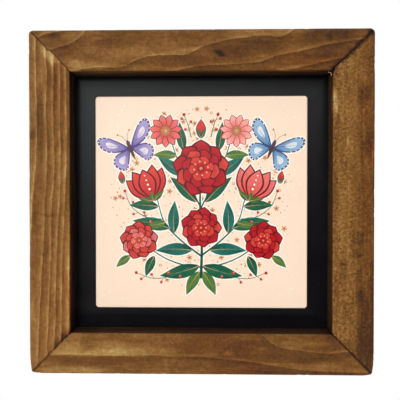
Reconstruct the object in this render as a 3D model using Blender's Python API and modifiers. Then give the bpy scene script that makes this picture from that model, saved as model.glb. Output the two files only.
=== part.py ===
"""A framed ceramic wall plaque: a glazed tile on a black board, in a mitred frame of stained pine.

Sizes are in metres, with +Z up. The front looks along -Y, and the back of the rails is the plane y = 0,
which lies against the wall. The origin is where the axis of the wall screw meets that plane, when the
screw is at the top of the keyhole slot in the top rail's back.
"""

import math

import bmesh
import bpy
from mathutils import Matrix, Vector

# The tile, and the black board that shows as an even border round it.
TILE_SIDE = 0.1500
TILE_THICKNESS = 0.0065
TILE_CORNER_RADIUS = 0.0022
TILE_EDGE_RADIUS = 0.0010
BOARD_REVEAL = 0.0155
BOARD_THICKNESS = 0.0060

# The rails. Each is one batten with a rebate along its back, which the board drops into. The board lies
# this deep behind the frame's front, and its own back is set in from the wall.
RAIL_FACE = 0.0285
RECESS_DEPTH = 0.0185
BOARD_SET_IN = 0.0037
REBATE_WIDTH = 0.0070
INNER_ARRIS_RADIUS = 0.0009

# The frame's outside, sanded after the rails were glued. The two lower corners are sanded back further.
FRONT_ARRIS_RADIUS = 0.0017
BACK_ARRIS_RADIUS = 0.0009
CORNER_RADIUS = 0.0028
LOWER_CORNER_EASE = 0.0012
LOWER_CORNER_EASE_LENGTH = 0.0130

# How far each mitre stands open, from the rail that comes first, going clockwise from the top one.
MITRE_GAPS = {"top": 0.0008, "right": 0.0004, "bottom": 0.0004, "left": 0.0004}

# The keyhole slot that the plaque hangs by: the screw's head goes in below, and its shank rides up the slot
# behind a lip. It lies in the middle of the top rail's back, beside the rebate.
KEYHOLE_HEAD_DIAMETER = 0.0085
KEYHOLE_SLOT_WIDTH = 0.0047
KEYHOLE_TRAVEL = 0.0065
KEYHOLE_LIP = 0.0030
KEYHOLE_HEAD_SPACE = 0.0065

# The film of glue under the board and the tile, and the play round the board in its rebate.
GLUE_GAP = 0.0003
BOARD_PLAY = 0.0005

# Facets of the round stretches.
ARC_SEGMENTS = 6
BEVEL_SEGMENTS = 4
HOLE_SEGMENTS = 32
EASE_SEGMENTS = 8

# How far a cutter runs past what it cuts.
CUTTER_MARGIN = 0.0100

OPENING_SIDE = TILE_SIDE + 2 * BOARD_REVEAL
FRAME_SIDE = OPENING_SIDE + 2 * RAIL_FACE
REBATE_DEPTH = GLUE_GAP + BOARD_THICKNESS + BOARD_SET_IN
RAIL_DEPTH = RECESS_DEPTH + REBATE_DEPTH
FRONT_Y = -RAIL_DEPTH
BOARD_FRONT_Y = -BOARD_SET_IN - BOARD_THICKNESS
TILE_BACK_Y = BOARD_FRONT_Y - GLUE_GAP
KEYHOLE_DROP = (RAIL_FACE - REBATE_WIDTH - KEYHOLE_TRAVEL) / 2
FRAME_CENTRE_Z = KEYHOLE_DROP - FRAME_SIDE / 2

RAIL_TURNS = {"top": 0, "right": 90, "bottom": 180, "left": 270}


def clear_scene():
    """Empties the scene that Blender starts with."""
    for old in list(bpy.data.objects):
        bpy.data.objects.remove(old)


def new_collection(name):
    """A collection in the scene."""
    made = bpy.data.collections.new(name)
    bpy.context.scene.collection.children.link(made)
    return made


def new_material(name, colour, roughness, metallic=0.0):
    """A plain surface of one colour."""
    made = bpy.data.materials.new(name)
    made.use_nodes = True
    surface = made.node_tree.nodes["Principled BSDF"]
    surface.inputs["Base Color"].default_value = (*colour, 1.0)
    surface.inputs["Roughness"].default_value = roughness
    surface.inputs["Metallic"].default_value = metallic
    return made


def arc(centre, radius, start, end, segments=ARC_SEGMENTS):
    """Points on an arc, both ends among them, with its angles in degrees."""
    steps = [math.radians(start + (end - start) * i / segments) for i in range(segments + 1)]
    return [(centre[0] + radius * math.cos(a), centre[1] + radius * math.sin(a)) for a in steps]


def rounded_square(side, radius):
    """The outline of a square with round corners, anticlockwise."""
    reach = side / 2 - radius
    points = []
    for quarter, (across, up) in enumerate(((1, 1), (-1, 1), (-1, -1), (1, -1))):
        points += arc((across * reach, up * reach), radius, 90 * quarter, 90 * quarter + 90)
    return points


def sanded_outline():
    """The frame's outer outline. Its sides draw in towards the two lower corners, as they were sanded."""
    half = FRAME_SIDE / 2
    reach = half - CORNER_RADIUS
    ease_start = LOWER_CORNER_EASE_LENGTH + CORNER_RADIUS

    def ease_at(from_corner):
        """How far a side is drawn in, at a distance from its lower end: it grows with the square."""
        share = max(0.0, 1 - from_corner / ease_start)
        return LOWER_CORNER_EASE * share**2

    upper = arc((reach, reach), CORNER_RADIUS, 0, 90) + arc((-reach, reach), CORNER_RADIUS, 90, 180)
    left = []
    for step in range(EASE_SEGMENTS + 1):
        from_corner = ease_start + (CORNER_RADIUS - ease_start) * step / EASE_SEGMENTS
        left.append((-half + ease_at(from_corner), -half + from_corner))
    drawn_in = ease_at(CORNER_RADIUS)
    corner = (-reach + drawn_in, -reach)
    lower_left = left + arc(corner, CORNER_RADIUS, 180, 270)[1:]
    lower_right = [(-x, z) for x, z in reversed(lower_left)]
    return upper + lower_left + lower_right


def rail_section():
    """A rail's section: the first number runs out from the opening, the second forward from the back."""
    inner_arris = arc(
        (INNER_ARRIS_RADIUS, RAIL_DEPTH - INNER_ARRIS_RADIUS), INNER_ARRIS_RADIUS, 180, 90
    )
    outer = [(RAIL_FACE + CUTTER_MARGIN, RAIL_DEPTH), (RAIL_FACE + CUTTER_MARGIN, 0.0)]
    rebate = [(REBATE_WIDTH, 0.0), (REBATE_WIDTH, REBATE_DEPTH), (0.0, REBATE_DEPTH)]
    return inner_arris + outer + rebate


def extruded(name, outline, depth, collection):
    """A closed mesh: the outline in its own X and Y, anticlockwise, and the depth along Z, centred."""
    shape = bmesh.new()
    corners = [shape.verts.new((x, y, -depth / 2)) for x, y in outline]
    base = shape.faces.new(corners)
    grown = bmesh.ops.extrude_face_region(shape, geom=[base], use_keep_orig=True)
    lifted = [item for item in grown["geom"] if isinstance(item, bmesh.types.BMVert)]
    bmesh.ops.translate(shape, verts=lifted, vec=(0.0, 0.0, depth))
    bmesh.ops.recalc_face_normals(shape, faces=shape.faces)
    mesh = bpy.data.meshes.new(name)
    shape.to_mesh(mesh)
    shape.free()
    made = bpy.data.objects.new(name, mesh)
    collection.objects.link(made)
    return made


def place(piece, location, rotation, parent=None):
    """Sets where a piece stands, with its turns in degrees."""
    piece.parent = parent
    piece.location = location
    piece.rotation_euler = [math.radians(turn) for turn in rotation]
    return piece


def make_helper(piece):
    """Marks a cutter, which shapes other pieces and isn't one itself."""
    piece.hide_render = True
    piece.display_type = "WIRE"
    return piece


def add_boolean(piece, operation, other):
    """Cuts a piece with another, or keeps what the two share."""
    modifier = piece.modifiers.new(f"{operation.lower()} {other.name}", "BOOLEAN")
    modifier.operation = operation
    modifier.solver = "EXACT"
    modifier.object = other


def add_rim_bevel(piece, radius, rims):
    """Rounds rims of an extruded piece: rims maps a height on its own Z to a share of the radius."""
    mesh = piece.data
    weights = mesh.attributes.new("bevel_weight_edge", "FLOAT", "EDGE")
    for edge in mesh.edges:
        heights = [mesh.vertices[i].co.z for i in edge.vertices]
        for height, share in rims.items():
            if all(abs(z - height) < 1e-6 for z in heights):
                weights.data[edge.index].value = share
    modifier = piece.modifiers.new("rounded rim", "BEVEL")
    modifier.limit_method = "WEIGHT"
    modifier.width = radius
    modifier.segments = BEVEL_SEGMENTS
    modifier.use_clamp_overlap = False


def finish_piece(piece, material):
    """Gives a piece its material, and smooth shading where its facets stand for a curve."""
    piece.data.materials.clear()
    piece.data.materials.append(material)
    piece.data.shade_smooth()
    piece.data.set_sharp_from_angle(angle=math.radians(30))
    return piece


def make_sanded_blank(cutters, centre):
    """The block that the whole frame would fill, with its outer corners and arrises rounded."""
    blank = extruded("sanded_blank", sanded_outline(), RAIL_DEPTH, cutters)
    rims = {-RAIL_DEPTH / 2: BACK_ARRIS_RADIUS / FRONT_ARRIS_RADIUS, RAIL_DEPTH / 2: 1.0}
    add_rim_bevel(blank, FRONT_ARRIS_RADIUS, rims)
    place(blank, (0.0, FRONT_Y / 2, 0.0), (90, 0, 0), centre)
    return make_helper(blank)


def add_primitive(name, operator, collection, **sizes):
    """One of Blender's primitives, in a collection."""
    operator(**sizes)
    made = bpy.context.active_object
    made.name = name
    made.data.name = name
    for old in list(made.users_collection):
        old.objects.unlink(made)
    collection.objects.link(made)
    return made


def make_mitre_cutter(side, end, gap, cutters, centre):
    """A block that takes off a rail's end, -1 or the clockwise one, +1, at 45 degrees, half the gap back."""
    width = 2 * (RAIL_FACE + CUTTER_MARGIN) * math.sqrt(2)
    name = f"mitre_{side}_{'start' if end < 0 else 'finish'}"
    cutter = add_primitive(name, bpy.ops.mesh.primitive_cube_add, cutters, size=1.0)
    cutter.scale = (width, RAIL_DEPTH + 2 * CUTTER_MARGIN, width)
    # The middle of the mitre, and from there half the block's width out, less half the gap.
    middle = (FRAME_SIDE - RAIL_FACE) / 2
    step = (width - gap) / 2 / math.sqrt(2)
    spot = Vector((end * (middle + step), FRONT_Y / 2, middle - step))
    turn = Matrix.Rotation(math.radians(RAIL_TURNS[side]), 3, "Y")
    place(cutter, turn @ spot, (0, RAIL_TURNS[side] + 45, 0), centre)
    return make_helper(cutter)


def make_keyhole_cutters(cutters):
    """The cuts of the keyhole: the hole for the screw's head, its shank's slot, and the space behind the lip."""
    depth = KEYHOLE_LIP + KEYHOLE_HEAD_SPACE
    head_hole = add_primitive(
        "keyhole_head",
        bpy.ops.mesh.primitive_cylinder_add,
        cutters,
        vertices=HOLE_SEGMENTS,
        radius=KEYHOLE_HEAD_DIAMETER / 2,
        depth=depth + CUTTER_MARGIN,
    )
    place(head_hole, (0.0, (CUTTER_MARGIN - depth) / 2, -KEYHOLE_TRAVEL), (90, 0, 0))

    def slot(name, width, start_y, end_y):
        """A slot with round ends, from the screw's place down by the travel."""
        outline = arc((0.0, 0.0), width / 2, 0, 180, HOLE_SEGMENTS // 2)
        outline += arc((0.0, -KEYHOLE_TRAVEL), width / 2, 180, 360, HOLE_SEGMENTS // 2)
        made = extruded(name, outline, start_y - end_y, cutters)
        return place(made, (0.0, (start_y + end_y) / 2, 0.0), (90, 0, 0))

    shank_slot = slot("keyhole_shank", KEYHOLE_SLOT_WIDTH, CUTTER_MARGIN, -depth)
    undercut = slot("keyhole_undercut", KEYHOLE_HEAD_DIAMETER, -KEYHOLE_LIP, -depth)
    return [make_helper(cutter) for cutter in (head_hole, shank_slot, undercut)]


def make_rail(side, start_gap, finish_gap, blank, parts, cutters, centre, wood):
    """One rail of the frame, cut from a rebated batten, mitred at both ends and sanded with the rest."""
    rail = extruded("rail_" + side, rail_section(), FRAME_SIDE + 2 * CUTTER_MARGIN, parts)
    # The batten is laid as the top rail: the section's first number up, its second forward, length along X.
    for vertex in rail.data.vertices:
        out, forward, along = vertex.co
        vertex.co = (along, -forward, OPENING_SIDE / 2 + out)
    place(rail, (0.0, 0.0, 0.0), (0, RAIL_TURNS[side], 0), centre)
    add_boolean(rail, "DIFFERENCE", make_mitre_cutter(side, -1, start_gap, cutters, centre))
    add_boolean(rail, "DIFFERENCE", make_mitre_cutter(side, +1, finish_gap, cutters, centre))
    add_boolean(rail, "INTERSECT", blank)
    return finish_piece(rail, wood)


def make_frame(parts, cutters, centre, wood):
    """The four rails, clockwise from the top. Each shares its mitres with the rails on either side."""
    blank = make_sanded_blank(cutters, centre)
    sides = list(RAIL_TURNS)
    rails = {}
    for number, side in enumerate(sides):
        before = sides[number - 1]
        rails[side] = make_rail(
            side, MITRE_GAPS[before], MITRE_GAPS[side], blank, parts, cutters, centre, wood
        )
    for cutter in make_keyhole_cutters(cutters):
        add_boolean(rails["top"], "DIFFERENCE", cutter)
    return rails


def make_backing_board(parts, centre, paint):
    """The black board, which sits in the rebate against its shoulder."""
    side = OPENING_SIDE + 2 * (REBATE_WIDTH - BOARD_PLAY)
    board = add_primitive("backing_board", bpy.ops.mesh.primitive_cube_add, parts, size=1.0)
    board.scale = (side, BOARD_THICKNESS, side)
    place(board, (0.0, BOARD_FRONT_Y + BOARD_THICKNESS / 2, 0.0), (0, 0, 0), centre)
    return finish_piece(board, paint)


def make_tile(parts, centre, glaze):
    """The ceramic tile, glued to the middle of the board, with its front rim rounded under the glaze."""
    outline = rounded_square(TILE_SIDE, TILE_CORNER_RADIUS)
    tile = extruded("ceramic_tile", outline, TILE_THICKNESS, parts)
    add_rim_bevel(tile, TILE_EDGE_RADIUS, {TILE_THICKNESS / 2: 1.0})
    place(tile, (0.0, TILE_BACK_Y - TILE_THICKNESS / 2, 0.0), (90, 0, 0), centre)
    return finish_piece(tile, glaze)


def main():
    """Builds the plaque."""
    clear_scene()
    parts = new_collection("ceramic_wall_plaque")
    cutters = new_collection("cutters")
    centre = bpy.data.objects.new("plaque_centre", None)
    centre.location = (0.0, 0.0, FRAME_CENTRE_Z)
    parts.objects.link(centre)
    wood = new_material("stained_pine", (0.225, 0.110, 0.036), 0.55)
    paint = new_material("black_paint", (0.012, 0.012, 0.013), 0.42)
    glaze = new_material("peach_glaze", (0.991, 0.776, 0.610), 0.15)
    make_frame(parts, cutters, centre, wood)
    make_backing_board(parts, centre, paint)
    make_tile(parts, centre, glaze)
    bpy.context.view_layer.update()


main()
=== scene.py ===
"""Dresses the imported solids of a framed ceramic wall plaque.

The four rails, the board and the tile are rebuilt as detailed meshes that keep the solids' sizes, and get
procedural finishes: stained pine, satin black paint, and a glazed picture in a folk style.

Lengths are in metres where a name says nothing else. The wood's figure and the tile's picture are laid out in
millimetres, as their fields say. Colours are written as 0 to 255 sRGB values.
"""

import logging
import math
from dataclasses import dataclass, field
from enum import Enum
from functools import partial, reduce
from typing import Self

import bpy
import numpy as np
from bpy.types import Material, Node, NodeTree, Object
from mathutils import Matrix, Vector
from mathutils.geometry import delaunay_2d_cdt


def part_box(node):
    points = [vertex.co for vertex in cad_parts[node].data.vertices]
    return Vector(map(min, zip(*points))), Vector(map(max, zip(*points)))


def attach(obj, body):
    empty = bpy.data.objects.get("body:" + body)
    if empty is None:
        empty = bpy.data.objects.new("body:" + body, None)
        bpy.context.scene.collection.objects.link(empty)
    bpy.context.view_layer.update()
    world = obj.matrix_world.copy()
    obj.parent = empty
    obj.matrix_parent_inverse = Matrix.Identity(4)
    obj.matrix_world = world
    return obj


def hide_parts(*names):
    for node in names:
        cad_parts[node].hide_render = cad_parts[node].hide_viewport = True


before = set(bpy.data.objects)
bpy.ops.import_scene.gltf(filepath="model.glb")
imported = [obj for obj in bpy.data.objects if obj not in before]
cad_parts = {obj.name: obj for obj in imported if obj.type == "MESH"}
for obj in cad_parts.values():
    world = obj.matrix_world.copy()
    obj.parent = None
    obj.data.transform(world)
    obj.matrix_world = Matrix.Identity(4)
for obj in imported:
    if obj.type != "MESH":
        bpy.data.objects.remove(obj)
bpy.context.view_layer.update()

log = logging.getLogger("plaque")
logging.basicConfig(level=logging.INFO, format="%(message)s")

Array = np.ndarray
Faces = list[list[int]]
Colour = tuple[float, float, float]
Point = tuple[float, float]
Point3 = tuple[float, float, float]
Tones = tuple[Colour, Colour, Colour]
Socket = bpy.types.NodeSocket

MM = 0.001


# Shared tools


def linear(colour: Colour) -> tuple[float, float, float, float]:
    """Turns an sRGB colour into the scene's linear one.

    Args:
        colour: Red, green and blue from 0 to 255.

    Returns:
        Linear red, green and blue, and an alpha of 1.
    """
    value = np.asarray(colour, float) / 255.0
    value = np.where(value <= 0.04045, value / 12.92, ((value + 0.055) / 1.055) ** 2.4)
    return (*value.tolist(), 1.0)


def smooth_step(low: float, high: float, value: Array) -> Array:
    """Rises from 0 at low to 1 at high, by 3t^2 - 2t^3."""
    share = np.clip((value - low) / (high - low), 0.0, 1.0)
    return share * share * (3.0 - 2.0 * share)


def lattice_noise(points: Array, seed: int) -> Array:
    """Smooth noise of any number of dimensions.

    Each whole-number lattice point gets a fixed random value from a hash of its place and the seed. A point
    takes the values of the corners of its cell, weighted along each axis by the fade 3t^2 - 2t^3.

    Args:
        points: One row for each point, one column for each dimension.
        seed: Picks the pattern.

    Returns:
        A value from -1 to 1 for each point.
    """
    base = np.floor(points).astype(np.int64)
    part = points - base
    fade = part * part * (3.0 - 2.0 * part)
    primes = np.array([374761393, 668265263, 2246822519, 3266489917][: points.shape[1]], np.int64)
    total = np.zeros(len(points))
    for corner in range(1 << points.shape[1]):
        step = np.array([(corner >> axis) & 1 for axis in range(points.shape[1])])
        key = ((base + step) * primes).sum(axis=1) + seed * 1274126177
        key = (key ^ (key >> 13)) & 0xFFFFFFFF
        key = (key * 1103515245 + 12345) & 0xFFFFFFFF
        key = ((key ^ (key >> 15)) * 69069 + 362437) & 0xFFFFFFFF
        weight = np.where(step == 1, fade, 1.0 - fade).prod(axis=1)
        total += weight * ((key >> 8) / 8388607.5 - 1.0)
    return total


def layered_noise(points: Array, seed: int, octaves: int = 3) -> Array:
    """Lattice noise in layers, each of twice the frequency and half the height of the one before."""
    layers = (0.5**layer * lattice_noise(points * 2.0**layer, seed + 17 * layer) for layer in range(octaves))
    return sum(layers) / 1.6


def curve_through(knots: Array, at: Array) -> Array:
    """A smooth line through knots, as a function of its first coordinate.

    Between two knots it is the cubic whose slopes at its ends are the knots' central differences. Outside the
    knots it goes on level.

    Args:
        knots: One row for each knot: its place, rising, and its height.
        at: The places to find the height at.

    Returns:
        The heights.
    """
    place, height = knots[:, 0], knots[:, 1]
    slope = np.gradient(height, place)
    inside = np.clip(at, place[0], place[-1])
    left = np.clip(np.searchsorted(place, inside) - 1, 0, len(place) - 2)
    span = place[left + 1] - place[left]
    t = (inside - place[left]) / span
    return (
        (2 * t**3 - 3 * t**2 + 1) * height[left]
        + (t**3 - 2 * t**2 + t) * span * slope[left]
        + (3 * t**2 - 2 * t**3) * height[left + 1]
        + (t**3 - t**2) * span * slope[left + 1]
    )


def path_points(knots: Array, count: int) -> Array:
    """Points on a smooth open line through knots in the plane, in even steps of the way from knot to knot.

    Args:
        knots: The points to pass through.
        count: How many points to return.

    Returns:
        One row for each point.
    """
    knot = np.asarray(knots, float)
    place = np.concatenate([[0.0], np.cumsum(np.hypot(*np.diff(knot, axis=0).T))])
    at = np.linspace(0.0, place[-1], count)
    return np.stack([curve_through(np.stack([place, knot[:, i]], 1), at) for i in (0, 1)], 1)


def closed_curve(knots: Array, steps: int) -> Array:
    """A smooth closed outline through knots: between two, the Catmull-Rom cubic of the four around them.

    Args:
        knots: The points to pass through.
        steps: How many steps there are from one to the next.

    Returns:
        One row for each point.
    """
    knot = np.asarray(knots, float)
    before, after, beyond = np.roll(knot, 1, 0), np.roll(knot, -1, 0), np.roll(knot, -2, 0)
    t = (np.arange(steps) / steps)[None, :, None]
    a, b, c, d = (item[:, None, :] for item in (before, knot, after, beyond))
    curve = 0.5 * (2 * b + (c - a) * t + (2 * a - 5 * b + 4 * c - d) * t**2 + (3 * b - a - 3 * c + d) * t**3)
    return curve.reshape(-1, 2)


def turned(points: Array, degrees: float, centre: Point = (0.0, 0.0)) -> Array:
    """Turns points of the plane anticlockwise about the plane's zero, then moves zero to the centre.

    Args:
        points: One row for each point.
        degrees: The angle.
        centre: Where zero goes.

    Returns:
        The points in their new places.
    """
    angle = math.radians(degrees)
    turn = np.array([[math.cos(angle), math.sin(angle)], [-math.sin(angle), math.cos(angle)]])
    return np.asarray(points, float) @ turn + np.asarray(centre, float)


def sideways(line: Array) -> Array:
    """The unit vector to the left of a line of points in the plane, at each of them."""
    run = np.gradient(line, axis=0)
    return np.stack([-run[:, 1], run[:, 0]], 1) / np.linalg.norm(run, axis=1, keepdims=True)


def outline_normals(outline: Array) -> Array:
    """The unit vectors to the right of a closed outline, square to the line past each point's neighbours."""
    edge = np.roll(outline, -1, 0) - np.roll(outline, 1, 0)
    return np.stack([edge[:, 1], -edge[:, 0]], 1) / np.linalg.norm(edge, axis=1, keepdims=True)


def moved_in(outline: Array, insets: Array) -> Array:
    """An anticlockwise outline moved in along its normals, once for each inset."""
    return outline[None] - outline_normals(outline)[None] * insets[:, None, None]


def ring_quads(number: Array) -> Array:
    """The quads between rows of point numbers, each row a closed ring."""
    after = np.roll(number, -1, 1)
    return np.stack([number[:-1], number[1:], after[1:], after[:-1]], -1).reshape(-1, 4)


def tube_faces(number: Array) -> Faces:
    """The quads between closed rings of point numbers, and one face across the ring at each end."""
    return ring_quads(number).tolist() + [number[0].tolist(), number[-1][::-1].tolist()]


def new_piece(name: str, points: Array, faces: Faces, material: Material, closed: bool = True) -> Object:
    """Makes an object of a surface, in the row's frame.

    If the volume that a closed surface holds, summed over the tetrahedra from zero to each face, comes out
    negative, all faces are turned round, so that they point outwards.

    Args:
        name: The object's name.
        points: Its points, in metres.
        faces: Its faces, each a list of point numbers.
        material: Its finish.
        closed: Whether the surface is closed.

    Returns:
        The object, linked to the scene.
    """
    corners = np.array([face[:3] for face in faces])
    a, b, c = (points[corners[:, i]] for i in range(3))
    sizes = np.array([len(face) - 2 for face in faces])
    if closed and (np.einsum("ij,ij->i", a, np.cross(b, c)) * sizes).sum() < 0:
        faces = [face[::-1] for face in faces]
    mesh = bpy.data.meshes.new(name)
    mesh.from_pydata(points.tolist(), [], faces)
    mesh.validate()
    mesh.update()
    mesh.materials.append(material)
    piece = bpy.data.objects.new(name, mesh)
    bpy.context.scene.collection.objects.link(piece)
    return piece


def add_values(piece: Object, name: str, values: Array) -> None:
    """Stores one number, or one vector, at each point of a piece, for its material to read.

    Args:
        piece: The piece.
        name: The name that the material reads them by.
        values: One for each point.
    """
    kind, store = ("FLOAT", "value") if values.ndim == 1 else ("FLOAT_VECTOR", "vector")
    layer = piece.data.attributes.new(name, kind, "POINT")
    layer.data.foreach_set(store, values.astype(np.float32).ravel())


def hand_over(piece: Object, node: str, sharp: float | None = None) -> None:
    """Tells the frame what a piece is, and reports it.

    Args:
        piece: The piece.
        node: The node that it stands for.
        sharp: The angle in degrees from which an edge stays sharp, if the piece is to be shaded smooth.
    """
    if sharp is not None:
        piece.data.shade_smooth()
        piece.data.set_sharp_from_angle(angle=math.radians(sharp))
    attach(piece, "root")
    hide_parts(node)
    log.info("%s: %d points, %d faces", piece.name, len(piece.data.vertices), len(piece.data.polygons))


class Nodes:
    """A short way to write a shader's nodes and links."""

    def __init__(self, tree: NodeTree) -> None:
        """Works on a tree."""
        self.tree = tree

    def feed(self, node: Node, inputs: dict[str | int, object]) -> None:
        """Sets a node's inputs, or links them.

        Args:
            node: The node.
            inputs: For each input, by name or number, its value or the socket that feeds it.
        """
        for name, value in inputs.items():
            if isinstance(value, Socket):
                self.tree.links.new(value, node.inputs[name])
            else:
                node.inputs[name].default_value = value

    def add(self, kind: str, inputs: dict[str | int, object] | None = None, **settings: object) -> Node:
        """Adds a node.

        Args:
            kind: Its type's name after ShaderNode.
            inputs: For each input, by name or number, its value or the socket that feeds it.
            settings: The node's own settings.

        Returns:
            The node.
        """
        node = self.tree.nodes.new("ShaderNode" + kind)
        for name, value in settings.items():
            setattr(node, name, value)
        self.feed(node, inputs or {})
        return node

    def math(self, operation: str, *values: object, clamp: bool = False) -> Socket:
        """A Math node's result."""
        return self.add("Math", dict(enumerate(values)), operation=operation, use_clamp=clamp).outputs[0]

    def plus(self, *values: object) -> Socket:
        """Values added up, one after the other."""
        return reduce(partial(self.math, "ADD"), values)

    def times(self, *values: object) -> Socket:
        """Values multiplied, one after the other."""
        return reduce(partial(self.math, "MULTIPLY"), values)

    def minus(self, first: object, second: object) -> Socket:
        """The first value less the second."""
        return self.math("SUBTRACT", first, second)

    def swing(self, value: object, size: object) -> Socket:
        """A noise moved to lie around 0, times a size."""
        return self.times(self.minus(value, 0.5), size)

    def stretch(self, vector: Socket, scale: Point3 | Socket) -> Socket:
        """A vector with each part multiplied, so that a noise may run long along one axis."""
        return self.add("VectorMath", {0: vector, 1: scale}, operation="MULTIPLY").outputs[0]

    def noise(
        self, vector: Socket, cells: Point3 | Socket, detail: float = 2.0, rough: float = 0.5
    ) -> Socket:
        """Noise around 0.5, with so many cells to the metre along each axis."""
        inputs = {"Vector": self.stretch(vector, cells), "Scale": 1.0, "Detail": detail, "Roughness": rough}
        return self.add("TexNoise", inputs).outputs["Fac"]

    def ranged(self, value: object, low: float, high: float, to: Point = (0.0, 1.0)) -> Socket:
        """A value's place between low and high, smoothed, as a place between the two numbers of to."""
        inputs = {"Value": value, "From Min": low, "From Max": high, "To Min": to[0], "To Max": to[1]}
        return self.add("MapRange", inputs, interpolation_type="SMOOTHSTEP").outputs[0]

    def along(self, vector: Socket, way: Point3) -> Socket:
        """How far a vector reaches along a way: their dot product."""
        return self.add("VectorMath", {0: vector, 1: way}, operation="DOT_PRODUCT").outputs["Value"]

    def blend(self, share: object, first: object, second: object, mode: str = "MIX") -> Socket:
        """Two colours mixed by a share."""
        return self.add("Mix", {0: share, 6: first, 7: second}, data_type="RGBA", blend_type=mode).outputs[2]

    def ramp(self, value: object, stops: tuple[tuple[float, Colour], ...]) -> Socket:
        """A colour by a value.

        Args:
            value: The value.
            stops: The value and the sRGB colour of each stop.

        Returns:
            The colour.
        """
        node = self.add("ValToRGB", {0: value})
        elements = node.color_ramp.elements
        for spare in list(elements)[1:]:
            elements.remove(spare)
        elements[0].position = stops[0][0]
        elements[0].color = linear(stops[0][1])
        for place, colour in stops[1:]:
            elements.new(place).color = linear(colour)
        return node.outputs[0]

    def bump(self, height: Socket, strength: float, distance: float) -> Socket:
        """The normal that a height gives."""
        inputs = {"Height": height, "Strength": strength, "Distance": distance}
        return self.add("Bump", inputs).outputs["Normal"]


class MaterialNodes(Nodes):
    """A material as it is written."""

    def __init__(self, name: str) -> None:
        """Starts a material.

        Args:
            name: The material's name.
        """
        self.material = bpy.data.materials.new(name)
        self.material.use_nodes = True
        super().__init__(self.material.node_tree)

    def carried(self, name: str) -> bpy.types.bpy_prop_collection:
        """The outputs that give what a piece carries under a name."""
        return self.add("Attribute", attribute_name=name).outputs

    def mottle(self, group: NodeTree, scales: Point3) -> tuple[Socket, Socket, Socket, Socket]:
        """Puts the shared mottle into the material.

        Args:
            group: Its node group.
            scales: The scales of its clouds, its grain and its specks.

        Returns:
            The place on the piece, and the clouds, the grain and the specks.
        """
        place = self.add("TexCoord").outputs["Object"]
        inputs = dict(zip(("Vector", "Cloud Scale", "Grain Scale", "Speck Scale"), (place, *scales)))
        return place, *self.add("Group", inputs, node_tree=group).outputs

    def close(self, inputs: dict[str, object]) -> Material:
        """Sets and links the inputs of the material's Principled BSDF, and returns the material."""
        self.feed(self.tree.nodes["Principled BSDF"], inputs)
        return self.material


class NodeGroup(Nodes):
    """A shader node group as it is written."""

    def __init__(self, name: str, inputs: dict[str, object]) -> None:
        """Starts a group.

        Args:
            name: Its name.
            inputs: For each input its default: a number, or three for a vector.
        """
        super().__init__(bpy.data.node_groups.new(name, "ShaderNodeTree"))
        for label, value in inputs.items():
            kind = "NodeSocketVector" if isinstance(value, tuple) else "NodeSocketFloat"
            self.tree.interface.new_socket(label, in_out="INPUT", socket_type=kind).default_value = value
        entry = self.tree.nodes.new("NodeGroupInput")
        self.arrive = [entry.outputs[label] for label in inputs]

    def close(self, outputs: dict[str, Socket]) -> NodeTree:
        """Gives the group its outputs.

        Args:
            outputs: For each output the colour or the value that leaves by it.

        Returns:
            The group.
        """
        for label, socket in outputs.items():
            kind = "NodeSocketColor" if socket.type == "RGBA" else "NodeSocketFloat"
            self.tree.interface.new_socket(label, in_out="OUTPUT", socket_type=kind)
        self.feed(self.tree.nodes.new("NodeGroupOutput"), outputs)
        return self.tree


def mottle_group() -> NodeTree:
    """The group that the paint and the glaze share: soft clouds, fine grain and rare specks.

    Clouds are slow noise, grain is fast noise, and a speck is where the distance to a scattered point is
    under a threshold, at those few points whose random colour is red enough.

    Returns:
        The group.
    """
    defaults = {"Vector": (0.0, 0.0, 0.0), "Cloud Scale": 40.0, "Grain Scale": 900.0, "Speck Scale": 260.0}
    group = NodeGroup("surface_mottle", defaults)
    place, cloud_scale, grain_scale, speck_scale = group.arrive
    cloud = group.noise(place, cloud_scale, 3.0, 0.55)
    grain = group.noise(place, grain_scale, 2.0, 0.6)
    cells = group.add("TexVoronoi", {"Vector": group.stretch(place, speck_scale), "Scale": 1.0}).outputs
    few = group.math("GREATER_THAN", group.add("SeparateColor", {0: cells["Color"]}).outputs[0], 0.86)
    specks = group.times(few, group.ranged(cells["Distance"], 0.2, 0.05))
    return group.close({"Cloud": cloud, "Grain": grain, "Specks": specks})


# The wood's figure


@dataclass(frozen=True)
class Patch:
    """A place where the stain took more or less, in millimetres.

    Attributes:
        along: Its middle along the rail.
        across: Its middle across the rail, from the opening.
        length: Its half length.
        width: Its half width.
        light: How much lighter it is, on the stain's scale from 0 to 1.
        warm: How much redder it is, from -1 (grey) to 1.
        tilt: Its turn, in degrees.
    """

    along: float
    across: float
    length: float
    width: float
    light: float
    warm: float
    tilt: float = 0.0

    @classmethod
    def rows(cls, *rows: tuple[float, ...]) -> tuple["Patch", ...]:
        """Patches, each from a row of its fields."""
        return tuple(cls(*row) for row in rows)

    def cover(self, along: Array, across: Array) -> Array:
        """How far each point lies in the patch: exp(-d^4), d in half sizes from the middle.

        Args:
            along: Distances from the rail's middle.
            across: Distances from the opening.

        Returns:
            A share from 0 to 1 for each point.
        """
        angle = math.radians(self.tilt)
        run, rise = along - self.along, across - self.across
        down = (run * math.cos(angle) + rise * math.sin(angle)) / self.length
        side = (rise * math.cos(angle) - run * math.sin(angle)) / self.width
        return np.exp(-((down**2 + side**2) ** 2))


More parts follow.
